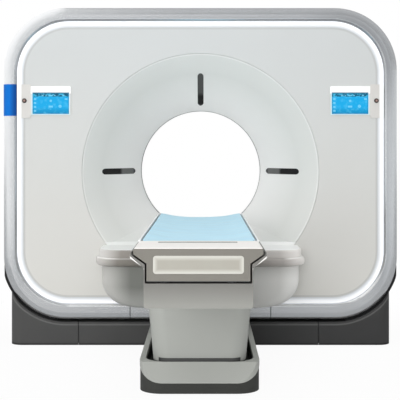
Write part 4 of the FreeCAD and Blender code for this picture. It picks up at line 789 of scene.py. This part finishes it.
def cap_panel_skin():
    """The cap's lighter panel: warm grey with a pale moulded border."""
    finish = Finish("cap_panel")
    x, y, z = finish.place()
    middle_x, middle_z, half_x, half_z = face_of("cap_panel")
    from_side = half_x - abs(x - middle_x)
    from_end = half_z - abs(z - middle_z)
    border = 1.0 - from_side.or_less(from_end).ramp(*PANEL_BORDER)
    tone = finish.mix(finish.noise(9.0), srgb(164, 158, 149), srgb(176, 176, 166))
    tone = finish.mix(border, tone, srgb(206, 205, 197))
    return finish.surface(Base_Color=tone, Roughness=0.40 + 0.08 * finish.noise(9.0))


def housing_skin():
    """Couch housing: grey, with painted shade under the cap and painted highlights on its chamfers' lips."""
    finish = Finish("housing_grey")
    x, y, z = finish.place()
    # Painted shade under the overhanging cap.
    tone = finish.mix(z.ramp(*HOUSING_SHADE_RUN), srgb(150, 150, 145), srgb(118, 117, 113))
    # Painted highlight on the lips along the chamfers.
    lip = (abs(x) * CHAMFER_OUT - z * CHAMFER_DOWN > CHAMFER_HIGHLIGHT_FROM) * (z > CHAMFER_FOOT)
    tone = finish.mix(lip, tone, srgb(240, 239, 236))
    tone = finish.drift(tone, srgb(140, 139, 135), 0.1, 5.0)
    return finish.surface(Base_Color=tone, Roughness=0.42 + 0.08 * finish.noise(9.0),
                          Normal=finish.peel())


finishes["cap_taupe"] = cap_skin()
finishes["cap_panel"] = cap_panel_skin()
finishes["housing_grey"] = housing_skin()
print("made: cap_taupe, cap_panel, housing_grey")

# %% [markdown]
# ## Control bezels, plate and stop buttons
# A touch screen sits in a pale bezel on each side of the panel: a white strip runs over it, and the
# screen's light spills on the bezel round it. A plain blue plate is fixed to the frame's left run,
# and a red-brown button sits beside each screen. Left and right are alike, so both bezels and both
# buttons share one finish, which measures from the right-hand ones with the sign of x taken off.

# %% Bezel, plate and button finishes
STRIP_SIDE = 0.010
GLOW_REACH = (0.002, 0.009)
HEAD_LINE = 0.006
BEZEL_TAB = (-BAND * 0.75, -BAND * 0.6)
PLATE_EDGE = 0.012
# As shares of the button's radius:
BUTTON_RIM = (0.45, 0.75)


def bezel_skin():
    """Bezel: white strip above the screen, a pale glow round it, panel grey elsewhere."""
    finish = Finish("bezel_white")
    x, y, z = finish.place()
    middle_x, middle_z, half_x, half_z = face_of("screen_right")
    screen_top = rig.box("screen_right")[1][2]
    across = abs(abs(x) - middle_x) - half_x
    up = abs(z - middle_z) - half_z
    above = z > screen_top
    tone = finish.mix(finish.noise(14.0), srgb(208, 205, 201), srgb(213, 212, 209))
    tone = finish.mix(above * (across < STRIP_SIDE), tone, srgb(254, 254, 254))
    glow = 1.0 - across.or_more(up).ramp(*GLOW_REACH)
    tone = finish.mix(glow * (z < screen_top) * 0.8, tone, srgb(204, 242, 254))
    head = above * (z < screen_top + HEAD_LINE) * (across < 0.0)
    tone = finish.mix(head, tone, srgb(38, 112, 140))
    tone = finish.mix(window_distance(x, z).ramp(*BEZEL_TAB), tone, srgb(252, 253, 254))
    return finish.surface(Base_Color=tone, Roughness=0.40 + 0.06 * finish.noise(20.0))


def badge_skin():
    """Plain blue plate, deeper towards the band."""
    finish = Finish("badge_blue")
    x, y, z = finish.place()
    middle_x, middle_z, half_x, half_z = face_of("badge_plate")
    deeper = x.ramp(middle_x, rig.box("badge_plate")[1][0] - PLATE_EDGE)
    tone = finish.mix(deeper, srgb(0, 112, 206), srgb(0, 68, 142))
    tone = finish.drift(tone, srgb(4, 96, 182), 0.2, 12.0)
    return finish.surface(Base_Color=tone, Roughness=0.50 + 0.06 * finish.noise(40.0),
                          Specular_IOR_Level=0.2)


def button_skin():
    """Red-brown rim round a paler middle."""
    finish = Finish("button_red")
    x, y, z = finish.place()
    middle_x, middle_z, half_x, reach = face_of("stop_button_right")
    off = ((abs(x) - middle_x) ** 2 + (z - middle_z) ** 2) ** 0.5
    rim = off.ramp(reach * BUTTON_RIM[0], reach * BUTTON_RIM[1])
    tone = finish.mix(rim, srgb(158, 134, 126), srgb(76, 54, 50))
    tone = finish.drift(tone, srgb(150, 110, 100), 0.2, 90.0)
    return finish.surface(Base_Color=tone, Roughness=0.42 + 0.05 * finish.noise(60.0))


finishes["bezel_white"] = bezel_skin()
finishes["badge_blue"] = badge_skin()
finishes["button_red"] = button_skin()
print("shaped finishes in the table:", len(finishes))

# %% [markdown]
# ## What glows
# The band round the panel is an opal light guide, and the screens are lit from behind. Lamps behind
# them would light the whole room. Emission at a strength of one or less makes them look lit, and
# they still don't act as lamps.

# %% Light band
BAND_RISE = (-BAND, -BAND * 0.2)
BAND_SHADE = (-0.006, 0.0)


def lit_band():
    """Opal light guide: dimmer at its inner edge and in the frame's shade."""
    finish = Finish("light_band")
    x, y, z = finish.place()
    glow = finish.mix(finish.noise(9.0, 2.0, 0.5), (0.93, 0.96, 1.0, 1.0), (1.0, 1.0, 1.0, 1.0))
    inset = window_distance(x, z)
    glow = finish.mix(inset.ramp(*BAND_RISE), (0.46, 0.48, 0.50, 1.0), glow)
    glow = finish.mix(inset.ramp(*BAND_SHADE) * 0.5, glow, (0.50, 0.52, 0.55, 1.0))
    return finish.surface(Base_Color=glow, Roughness=0.35, Emission_Color=glow,
                          Emission_Strength=0.28)


finishes["light_band"] = lit_band()
print("made: light_band")

# %% [markdown]
# ## The screens' page
# Both screens show a page of controls: a title strip above, a column of tiles at the left, and a
# few tiles and round marks on a blue ground. An image would give it, but a page this plain is a
# handful of rectangles and circles, measured from the screen's middle, and it stays sharp close by.

# %% Screen pages
PAGE_RUN = (-0.058, -0.020)
PAGE_SIDES = (0.094, 0.101)
TITLE_FOOT = 0.040
TITLE_ROW = 0.046
# Across, width and height of each mark in the title strip:
TITLE_MARKS = ((-0.045, 0.010, 0.007), (-0.026, 0.006, 0.006), (0.0, 0.022, 0.006),
               (0.022, 0.010, 0.006), (0.072, 0.012, 0.006))
COLUMN_X = -0.088
COLUMN_TOP = 0.026
COLUMN_PITCH = 0.022
COLUMN_TILES = 4
COLUMN_TILE = (0.013, 0.011)
# Across, up, width and height of the loose tiles; across, up and radius of the round marks:
LOOSE_TILES = ((0.0, -0.016, 0.024, 0.011), (0.086, 0.026, 0.016, 0.010))
ROUND_MARKS = ((0.0, 0.016, 0.007), (0.052, -0.014, 0.009))


def tile(x, z, centre_x, centre_z, width, height):
    """One inside a rectangle of the page, zero outside."""
    inside_x = abs(x - centre_x) < width / 2
    inside_z = abs(z - centre_z) < height / 2
    return inside_x * inside_z


def dot(x, z, centre_x, centre_z, radius):
    """One inside a round mark."""
    return ((x - centre_x) ** 2 + (z - centre_z) ** 2) < radius ** 2


def page_marks(x, z):
    """One on every tile and round mark of the page."""
    parts = [tile(x, z, across, TITLE_ROW, width, height) for across, width, height in TITLE_MARKS]
    for row in range(COLUMN_TILES):
        parts.append(tile(x, z, COLUMN_X, COLUMN_TOP - COLUMN_PITCH * row, *COLUMN_TILE))
    parts += [tile(x, z, *one) for one in LOOSE_TILES]
    parts += [dot(x, z, *one) for one in ROUND_MARKS]
    marks = parts[0]
    for part in parts[1:]:
        marks = marks.or_more(part)
    return marks


def screen_page(name, node):
    """A plain page of controls: a dark title strip, a column of tiles and a few round marks."""
    middle_x, middle_z, half_x, half_z = face_of(node)
    finish = Finish(name)
    x, y, z = finish.place()
    x = x - middle_x
    z = z - middle_z
    page = finish.mix(z.ramp(*PAGE_RUN), srgb(2, 132, 184), srgb(14, 172, 234))
    soft = finish.noise(46.0, 2.0, 0.5).ramp(0.50, 0.75)
    page = finish.mix(soft * 0.4, page, srgb(104, 214, 252))
    blobs = finish.noise(90.0, 2.0, 0.5).ramp(0.42, 0.58)
    title = finish.mix(blobs, srgb(6, 84, 116), srgb(66, 178, 220))
    page = finish.mix(z > TITLE_FOOT, page, title)
    page = finish.mix(abs(x).ramp(*PAGE_SIDES) * 0.6, page, srgb(8, 118, 160))
    page = finish.mix(page_marks(x, z) * 0.6, page, srgb(140, 226, 255))
    return finish.surface(Base_Color=(0.01, 0.02, 0.03, 1.0), Roughness=0.35,
                          Emission_Color=page, Emission_Strength=1.0, Specular_IOR_Level=0.1)


page_left = screen_page("screen_page_left", "screen_left")
page_right = screen_page("screen_page_right", "screen_right")
print("made:", page_left.name, page_right.name)

# %% [markdown]
# ## Upholstery
# The pad is foam under a coated fabric that wipes clean: a light blue skin with a fine grain and a
# soft sheen, and slack creases where it dips. Grain and creases are two bumps of very different
# scale, one through the other.

# %% Pad finish
CREASE_STRETCH = (2.5, 11.0, 2.5)


def pad_skin():
    """Coated fabric over foam: fine grain that lies on slack creases."""
    finish = Finish("pad_blue")
    cloud = finish.noise(5.0, 4.0, 0.6)
    tone = finish.mix(cloud, srgb(172, 226, 250), srgb(194, 238, 254))
    creases = finish.bump(finish.stretched(CREASE_STRETCH, 1.0, 3.0), 0.030, 0.7)
    grain = finish.bump(finish.noise(1400.0, 2.0, 0.5), 0.0004, 0.4, creases)
    return finish.surface(Base_Color=tone, Roughness=0.40 + 0.12 * cloud, Normal=grain,
                          Sheen_Weight=0.15)


finishes["pad_blue"] = pad_skin()
print("made: pad_blue")

# %% [markdown]
# ## Dressing the pieces
# The frame says which finish each piece was given when it was designed. A few pieces that share a
# finish there look different on the real object, so they get their own from a table by name.

# %% Every node gets its finish
slot_of = {entry["node"]: entry["material_slot"] for entry in frame["record"]["subparts"]}
own_finish = {
    "screen_left": page_left,
    "screen_right": page_right,
    "front_panel": panel_finish,
    "front_funnel": funnel_finish,
    "chin_bowl_left": bowl_finish,
    "chin_bowl_right": bowl_finish,
    "couch_base": foot_finish,
}
for name, piece in nodes.items():
    finish = own_finish.get(name) or finishes[slot_of[name]]
    piece.data.materials.clear()
    piece.data.materials.append(finish)
print("dressed:", len(nodes))

# %% [markdown]
# ## Ledges between lip and bowl
# Between the deck's lip and each chin bowl runs a rolled ledge, a little prouder than both. It is
# one profile carried round the lobe's outline: back along the side, round the corner, and across
# the front to the slot where the couch passes. First comes the outline: each of its points knows
# which way is outwards there.

# %% Outline of a lobe
LOBE_HALF = 0.548
LOBE_CORNER = 0.125
LOBE_FRONT = -0.750
LOBE_SLOT = 0.262
CORNER_STEPS = 14


def lobe_outline(side):
    """Points round one lobe, each with its outward direction."""
    outline = [((LOBE_HALF, front_y), (1.0, 0.0))]
    for step in range(CORNER_STEPS + 1):
        turn = math.pi / 2 * step / CORNER_STEPS
        out = (math.cos(turn), -math.sin(turn))
        outline.append(((LOBE_HALF - LOBE_CORNER + LOBE_CORNER * out[0],
                         LOBE_FRONT + LOBE_CORNER + LOBE_CORNER * out[1]), out))
    outline.append(((LOBE_SLOT, LOBE_FRONT), (0.0, -1.0)))
    return [((side * x, y), (side * out_x, out_y)) for (x, y), (out_x, out_y) in outline]


print("points in an outline:", len(lobe_outline(1.0)))

# %% [markdown]
# ## Sweeping the ledge
# A curve with a bevel profile could make the ledge. Points worked out in two loops do too, and
# leave a plain closed mesh with square ends. One helper does the last steps for all small trim: a
# mesh from the points, faces turned outwards, a finish and an object.

# %% Chin ledges
# How far out of the lobe's outline, and how high:
LEDGE_PROFILE = [(-0.010, LEDGE_LOW), (0.008, LEDGE_LOW), (0.014, 0.476), (0.018, 0.486),
                 (0.018, 0.499), (0.014, 0.510), (0.008, 0.516), (-0.010, LEDGE_HIGH)]


def trim_piece(name, points, faces, finish):
    """A closed mesh from points and faces, with its faces turned outwards."""
    mesh = bpy.data.meshes.new(name)
    mesh.from_pydata(points, [], faces)
    shell = bmesh.new()
    shell.from_mesh(mesh)
    bmesh.ops.recalc_face_normals(shell, faces=shell.faces)
    shell.to_mesh(mesh)
    shell.free()
    mesh.materials.append(finish)
    piece = bpy.data.objects.new(name, mesh)
    bpy.context.scene.collection.objects.link(piece)
    return piece


def sweep_ledge(name, side):
    """Carries the ledge's profile along the outline and closes both ends."""
    points = []
    faces = []
    outline = lobe_outline(side)
    around = len(LEDGE_PROFILE)
    for (x, y), (out_x, out_y) in outline:
        for out, height in LEDGE_PROFILE:
            points.append((x + out * out_x, y + out * out_y, height))
    for step in range(len(outline) - 1):
        for k in range(around):
            a = step * around + k
            b = step * around + (k + 1) % around
            faces.append((a, b, b + around, a + around))
    faces.append(tuple(range(around - 1, -1, -1)))
    faces.append(tuple(range((len(outline) - 1) * around, len(outline) * around)))
    ledge = trim_piece(name, points, faces, ledge_finish)
    for face in ledge.data.polygons:
        face.use_smooth = len(face.vertices) == 4
    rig.ride(ledge, "gantry")
    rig.slot(ledge, "panel_white")
    return ledge


for name, side in (("chin_ledge_left", -1.0), ("chin_ledge_right", 1.0)):
    print(name, "faces:", len(sweep_ledge(name, side).data.polygons))

# %% [markdown]
# ## Painted shadow under the frame's corners
# Where the silver frame's lower corners dip into the dark base, a black crescent stands in for the
# shadow in the gap.
# It starts as nothing on the frame's side and widens along the corner to the base's top. A boolean
# of base and frame would give its outline, but the gap has a simple rule: it is the space between
# the corner's arc and the straight line that the base's top would follow.

# %% Corner shadows
GAP_SHADOW_FRONT = -0.430
GAP_SHADOW_BACK = -0.400
GAP_SHADOW_WIDTH = 0.016
GAP_SHADOW_TUCK = 0.004
GAP_SHADOW_FILL = 0.9
GAP_SHADOW_START = 8.0
GAP_SHADOW_SWEEP = 72.0
GAP_SHADOW_STEPS = 24


def sweep_gap_shadow(name, side):
    """A black crescent of painted shadow that follows the frame's lower corner on one side."""
    centre_x = outer_high[0] - OUTER_ROUND
    centre_z = outer_low[2] + OUTER_ROUND
    points = []
    faces = []
    for step in range(GAP_SHADOW_STEPS + 1):
        turn = math.radians(GAP_SHADOW_START + GAP_SHADOW_SWEEP * step / GAP_SHADOW_STEPS)
        room = (OUTER_ROUND / math.cos(turn) - OUTER_ROUND) * GAP_SHADOW_FILL
        for radius in (OUTER_ROUND - GAP_SHADOW_TUCK, OUTER_ROUND + min(room, GAP_SHADOW_WIDTH)):
            for y in (GAP_SHADOW_FRONT, GAP_SHADOW_BACK):
                points.append((side * (centre_x + radius * math.cos(turn)), y,
                               centre_z - radius * math.sin(turn)))
    for step in range(GAP_SHADOW_STEPS):
        a = 4 * step
        for first, second in ((0, 2), (2, 3), (3, 1), (1, 0)):
            faces.append((a + first, a + second, a + 4 + second, a + 4 + first))
    faces.append((0, 1, 3, 2))
    faces.append((4 * GAP_SHADOW_STEPS, 4 * GAP_SHADOW_STEPS + 2, 4 * GAP_SHADOW_STEPS + 3, 4 * GAP_SHADOW_STEPS + 1))
    # The black crescent is painted shadow that fills the gap.
    seal = trim_piece(name, points, faces, gap_shadow_finish)
    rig.ride(seal, "gantry")
    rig.slot(seal, "collar_dark")
    return seal


# Black for the painted shadow in the gap.
gap_shadow_finish = moulding("gap_shadow_black", srgb(26, 26, 27), 0.60, 900.0, 0.1)
for name, side in (("corner_seal_left", -1.0), ("corner_seal_right", 1.0)):
    print(name, "faces:", len(sweep_gap_shadow(name, side).data.polygons))

# %% [markdown]
# ## The pad
# The construction solid gives the pad's place, its dish and its size. Real foam fills its cover, so
# the edges are round and the top swells between them. A cloth simulation with a little pressure
# does that: the solid is remeshed evenly, blown up for a few frames, and held close to where it
# was. The steps come first, each as a function.

# %% Steps of the pad
PAD_VOXEL = 0.009
PAD_PRESSURE = 4.0
PAD_FRAMES = 20
PAD_MOVE = 0.004
PAD_SHRINK = 0.003
PAD_WIDEN = 1.030
PAD_LIFT = 0.014
# In metres from the pad's middle, where the sides begin to rise, and over what width:
LIFT_START = 0.110
LIFT_REACH = 0.115


def copy_piece(name, source):
    """A piece of its own with the source's mesh."""
    piece = bpy.data.objects.new(name, source.data.copy())
    bpy.context.scene.collection.objects.link(piece)
    return piece


def apply_modifiers(piece):
    """Keeps what the modifiers made, and drops them."""
    graph = bpy.context.evaluated_depsgraph_get()
    mesh = bpy.data.meshes.new_from_object(piece.evaluated_get(graph))
    piece.modifiers.clear()
    piece.data = mesh


def shrink(piece, amount):
    """Moves every point inwards along its normal."""
    for point in piece.data.vertices:
        point.co -= point.normal * amount


def lift_edges(piece):
    """Draws the long sides out over the rims and up, as a mattress lies in a narrow dish."""
    for point in piece.data.vertices:
        side = max(0.0, (abs(point.co.x) - LIFT_START) / LIFT_REACH)
        point.co.z += PAD_LIFT * side ** 2
        point.co.x *= PAD_WIDEN


def swell(piece):
    """Cloth under pressure, with each point's travel capped."""
    start = [point.co.copy() for point in piece.data.vertices]
    cloth = piece.modifiers.new("swell", "CLOTH")
    cloth.settings.use_pressure = True
    cloth.settings.uniform_pressure_force = PAD_PRESSURE
    cloth.settings.effector_weights.gravity = 0.0
    scene = bpy.context.scene
    for step in range(1, PAD_FRAMES + 1):
        scene.frame_set(step)
    apply_modifiers(piece)
    for point, old in zip(piece.data.vertices, start):
        travel = point.co - old
        if travel.length > PAD_MOVE:
            point.co = old + travel.normalized() * PAD_MOVE
    scene.frame_set(1)


print("swell past the solid: at most %.3f m" % (PAD_MOVE - PAD_SHRINK))

# %% [markdown] ## Making the pad The steps run in the order of the real work: cut the foam a little
# small, fit it between the rims, fill it, and smooth the cover.

# %% Pad by simulation
PAD_SMOOTHING = 4

pad = copy_piece("pad_cover", nodes["pad"])
remesh = pad.modifiers.new("even", "REMESH")
remesh.mode = "VOXEL"
remesh.voxel_size = PAD_VOXEL
apply_modifiers(pad)
shrink(pad, PAD_SHRINK)
lift_edges(pad)
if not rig.quick():
    swell(pad)
smooth = pad.modifiers.new("smooth", "CORRECTIVE_SMOOTH")
smooth.iterations = PAD_SMOOTHING
smooth.use_only_smooth = True
subdivide = pad.modifiers.new("fine", "SUBSURF")
subdivide.levels = 1
subdivide.render_levels = 1
apply_modifiers(pad)
pad.data.materials.clear()
pad.data.materials.append(finishes["pad_blue"])
for face in pad.data.polygons:
    face.use_smooth = True
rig.ride(pad, "cradle")
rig.replaces(pad, "pad")
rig.slot(pad, "pad_blue")
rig.padded(pad, fill=0.7)
print("pad points:", len(pad.data.vertices))

# %% [markdown]
# ## The floor
# The photo is a cut-out on white, with no hard shadow. The floor takes the object's faint shadow,
# and most of it is plain white to the camera. To a mirror it is part of a room: bright on the left,
# greyer on the right, and dark close to the scanner. Light Path tells the camera's rays from a
# mirror's, so one floor does both.

# %% Floor
FLOOR_HALF = 30.0
FLOOR_NEAR = 0.93
SHADOW_CENTRE_Y = -0.9
SHADOW_X = 2.2
SHADOW_Y = 2.6
ROOM_ACROSS = (-1.6, 1.6)
ROOM_FRONT = (-5.0, -2.6)
WHITE = (1.0, 1.0, 1.0, 1.0)
ROOM_RIGHT = (0.70, 0.72, 0.74, 1.0)
ROOM_UP = (0.33, 0.34, 0.35, 1.0)
ROOM_FOOT = (0.28, 0.29, 0.30, 1.0)


def floor_finish():
    """Pale and matt close to the scanner, plain white farther out, and a room to mirrors."""
    finish = Finish("studio_floor")
    x, y, z = finish.place()
    camera_ray = finish.node("ShaderNodeLightPath", out="Is Camera Ray")
    mirror_ray = finish.node("ShaderNodeLightPath", out="Is Glossy Ray")
    tone = finish.mix(finish.noise(1.5), (0.86, 0.86, 0.86, 1.0), (0.90, 0.90, 0.90, 1.0))
    matt = finish.node("ShaderNodeBsdfDiffuse", {}, {"Color": tone})
    away = (x / SHADOW_X) ** 2 + ((y - SHADOW_CENTRE_Y) / SHADOW_Y) ** 2
    clear = FLOOR_NEAR + (1.0 - FLOOR_NEAR) * away.or_less(1.0)
    room = finish.mix(x.ramp(*ROOM_ACROSS), WHITE, ROOM_RIGHT)
    room = finish.mix(y.ramp(*ROOM_FRONT), room, ROOM_FOOT)
    seen = finish.mix(mirror_ray, WHITE, room)
    glow = finish.node("ShaderNodeEmission", {}, {"Color": seen, "Strength": 1.0})
    share = (camera_ray * clear).or_more(mirror_ray)
    blend = finish.node("ShaderNodeMixShader", {}, {0: share, 1: matt, 2: glow})
    finish.node("ShaderNodeOutputMaterial", {}, {"Surface": blend})
    return finish.material


floor_mesh = bpy.data.meshes.new("studio_floor")
corners = [(-FLOOR_HALF, -FLOOR_HALF, 0), (FLOOR_HALF, -FLOOR_HALF, 0),
           (FLOOR_HALF, FLOOR_HALF, 0), (-FLOOR_HALF, FLOOR_HALF, 0)]
floor_mesh.from_pydata(corners, [], [(0, 1, 2, 3)])
floor = bpy.data.objects.new("studio_floor", floor_mesh)
floor.data.materials.append(floor_finish())
bpy.context.scene.collection.objects.link(floor)
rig.stage(floor)
print("floor ready")

# %% [markdown]
# ## World and lamps
# A photographer lights white mouldings with large softboxes and lets the silver mirror pale walls.
# Here two area lamps light the object, and a dome fills the shadows. The walls are only in the
# world's colour, and only for mirrors: white on the left, grey on the right, and darker overhead.
# That darkness leaves out the far left, so that the frame's upper left corner stays bright.

# %% World and lamps
DOME_LOW = (0.36, 0.36, 0.36, 1.0)
DOME_HIGH = (0.68, 0.68, 0.68, 1.0)
WALLS_MEET = (-0.10, 0.30)
LEFT_CEILING = ((0.10, 0.15), (-0.185, -0.135))
RIGHT_CEILING = ((0.03, 0.135), (0.05, 0.13))
# Each lamp's name, place, aim, width in metres and power in watts:
SOFTBOXES = (("front_left", (-2.3, -9.2, 2.1), (0.0, -0.5, 0.9), 4.0, 352.0),
             ("overhead", (0.0, -2.0, 4.6), (0.0, -1.6, 0.0), 3.0, 42.0))


def ceiling(x, z, up, across):
    """One where a mirror looks up past the wall's top, on one side of the room."""
    return z.ramp(*up) * x.ramp(*across)


def studio_world():
    """White to the camera, a room to mirrors, and a soft dome for the light itself."""
    world = bpy.data.worlds.new("studio")
    world.use_nodes = True
    bpy.context.scene.world = world
    finish = Finish("studio", world.node_tree)
    x, y, z = finish.split(finish.node("ShaderNodeTexCoord", out="Generated"))
    dome = finish.mix(z * 0.5 + 0.5, DOME_LOW, DOME_HIGH)
    room = finish.mix(x.ramp(*WALLS_MEET), WHITE, ROOM_RIGHT)
    overhead = ceiling(x, z, *LEFT_CEILING).or_more(ceiling(x, z, *RIGHT_CEILING))
    room = finish.mix(overhead, room, ROOM_UP)
    mirror_ray = finish.node("ShaderNodeLightPath", out="Is Glossy Ray")
    camera_ray = finish.node("ShaderNodeLightPath", out="Is Camera Ray")
    colour = finish.mix(mirror_ray, dome, room)
    colour = finish.mix(camera_ray, colour, WHITE)
    light = finish.node("ShaderNodeBackground", {}, {"Color": colour, "Strength": 1.0})
    finish.node("ShaderNodeOutputWorld", {}, {"Surface": light})


def softbox(name, place, target, size, power):
    """Square area lamp aimed at a point. Mirrors don't show it."""
    lamp = bpy.data.lights.new(name, "AREA")
    lamp.shape = "SQUARE"
    lamp.size = size
    lamp.energy = power
    holder = bpy.data.objects.new(name, lamp)
    holder.location = place
    aim = Vector(target) - Vector(place)
    holder.rotation_euler = aim.to_track_quat("-Z", "Y").to_euler()
    holder.visible_glossy = False
    bpy.context.scene.collection.objects.link(holder)


studio_world()
for lamp_values in SOFTBOXES:
    softbox(*lamp_values)
print("lamps:", len(bpy.data.lights))

# %% [markdown]
# ## Last lines
# The sizes of the construction and of the finished model are kept side by side.

# %% Sizes and finish
plain = lambda box: [[float(value) for value in corner] for corner in box]
json.dump({"cad": plain(cad_box), "visual": plain(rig.bounds())}, open("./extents.json", "w"))
print("sizes:", open("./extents.json").read())
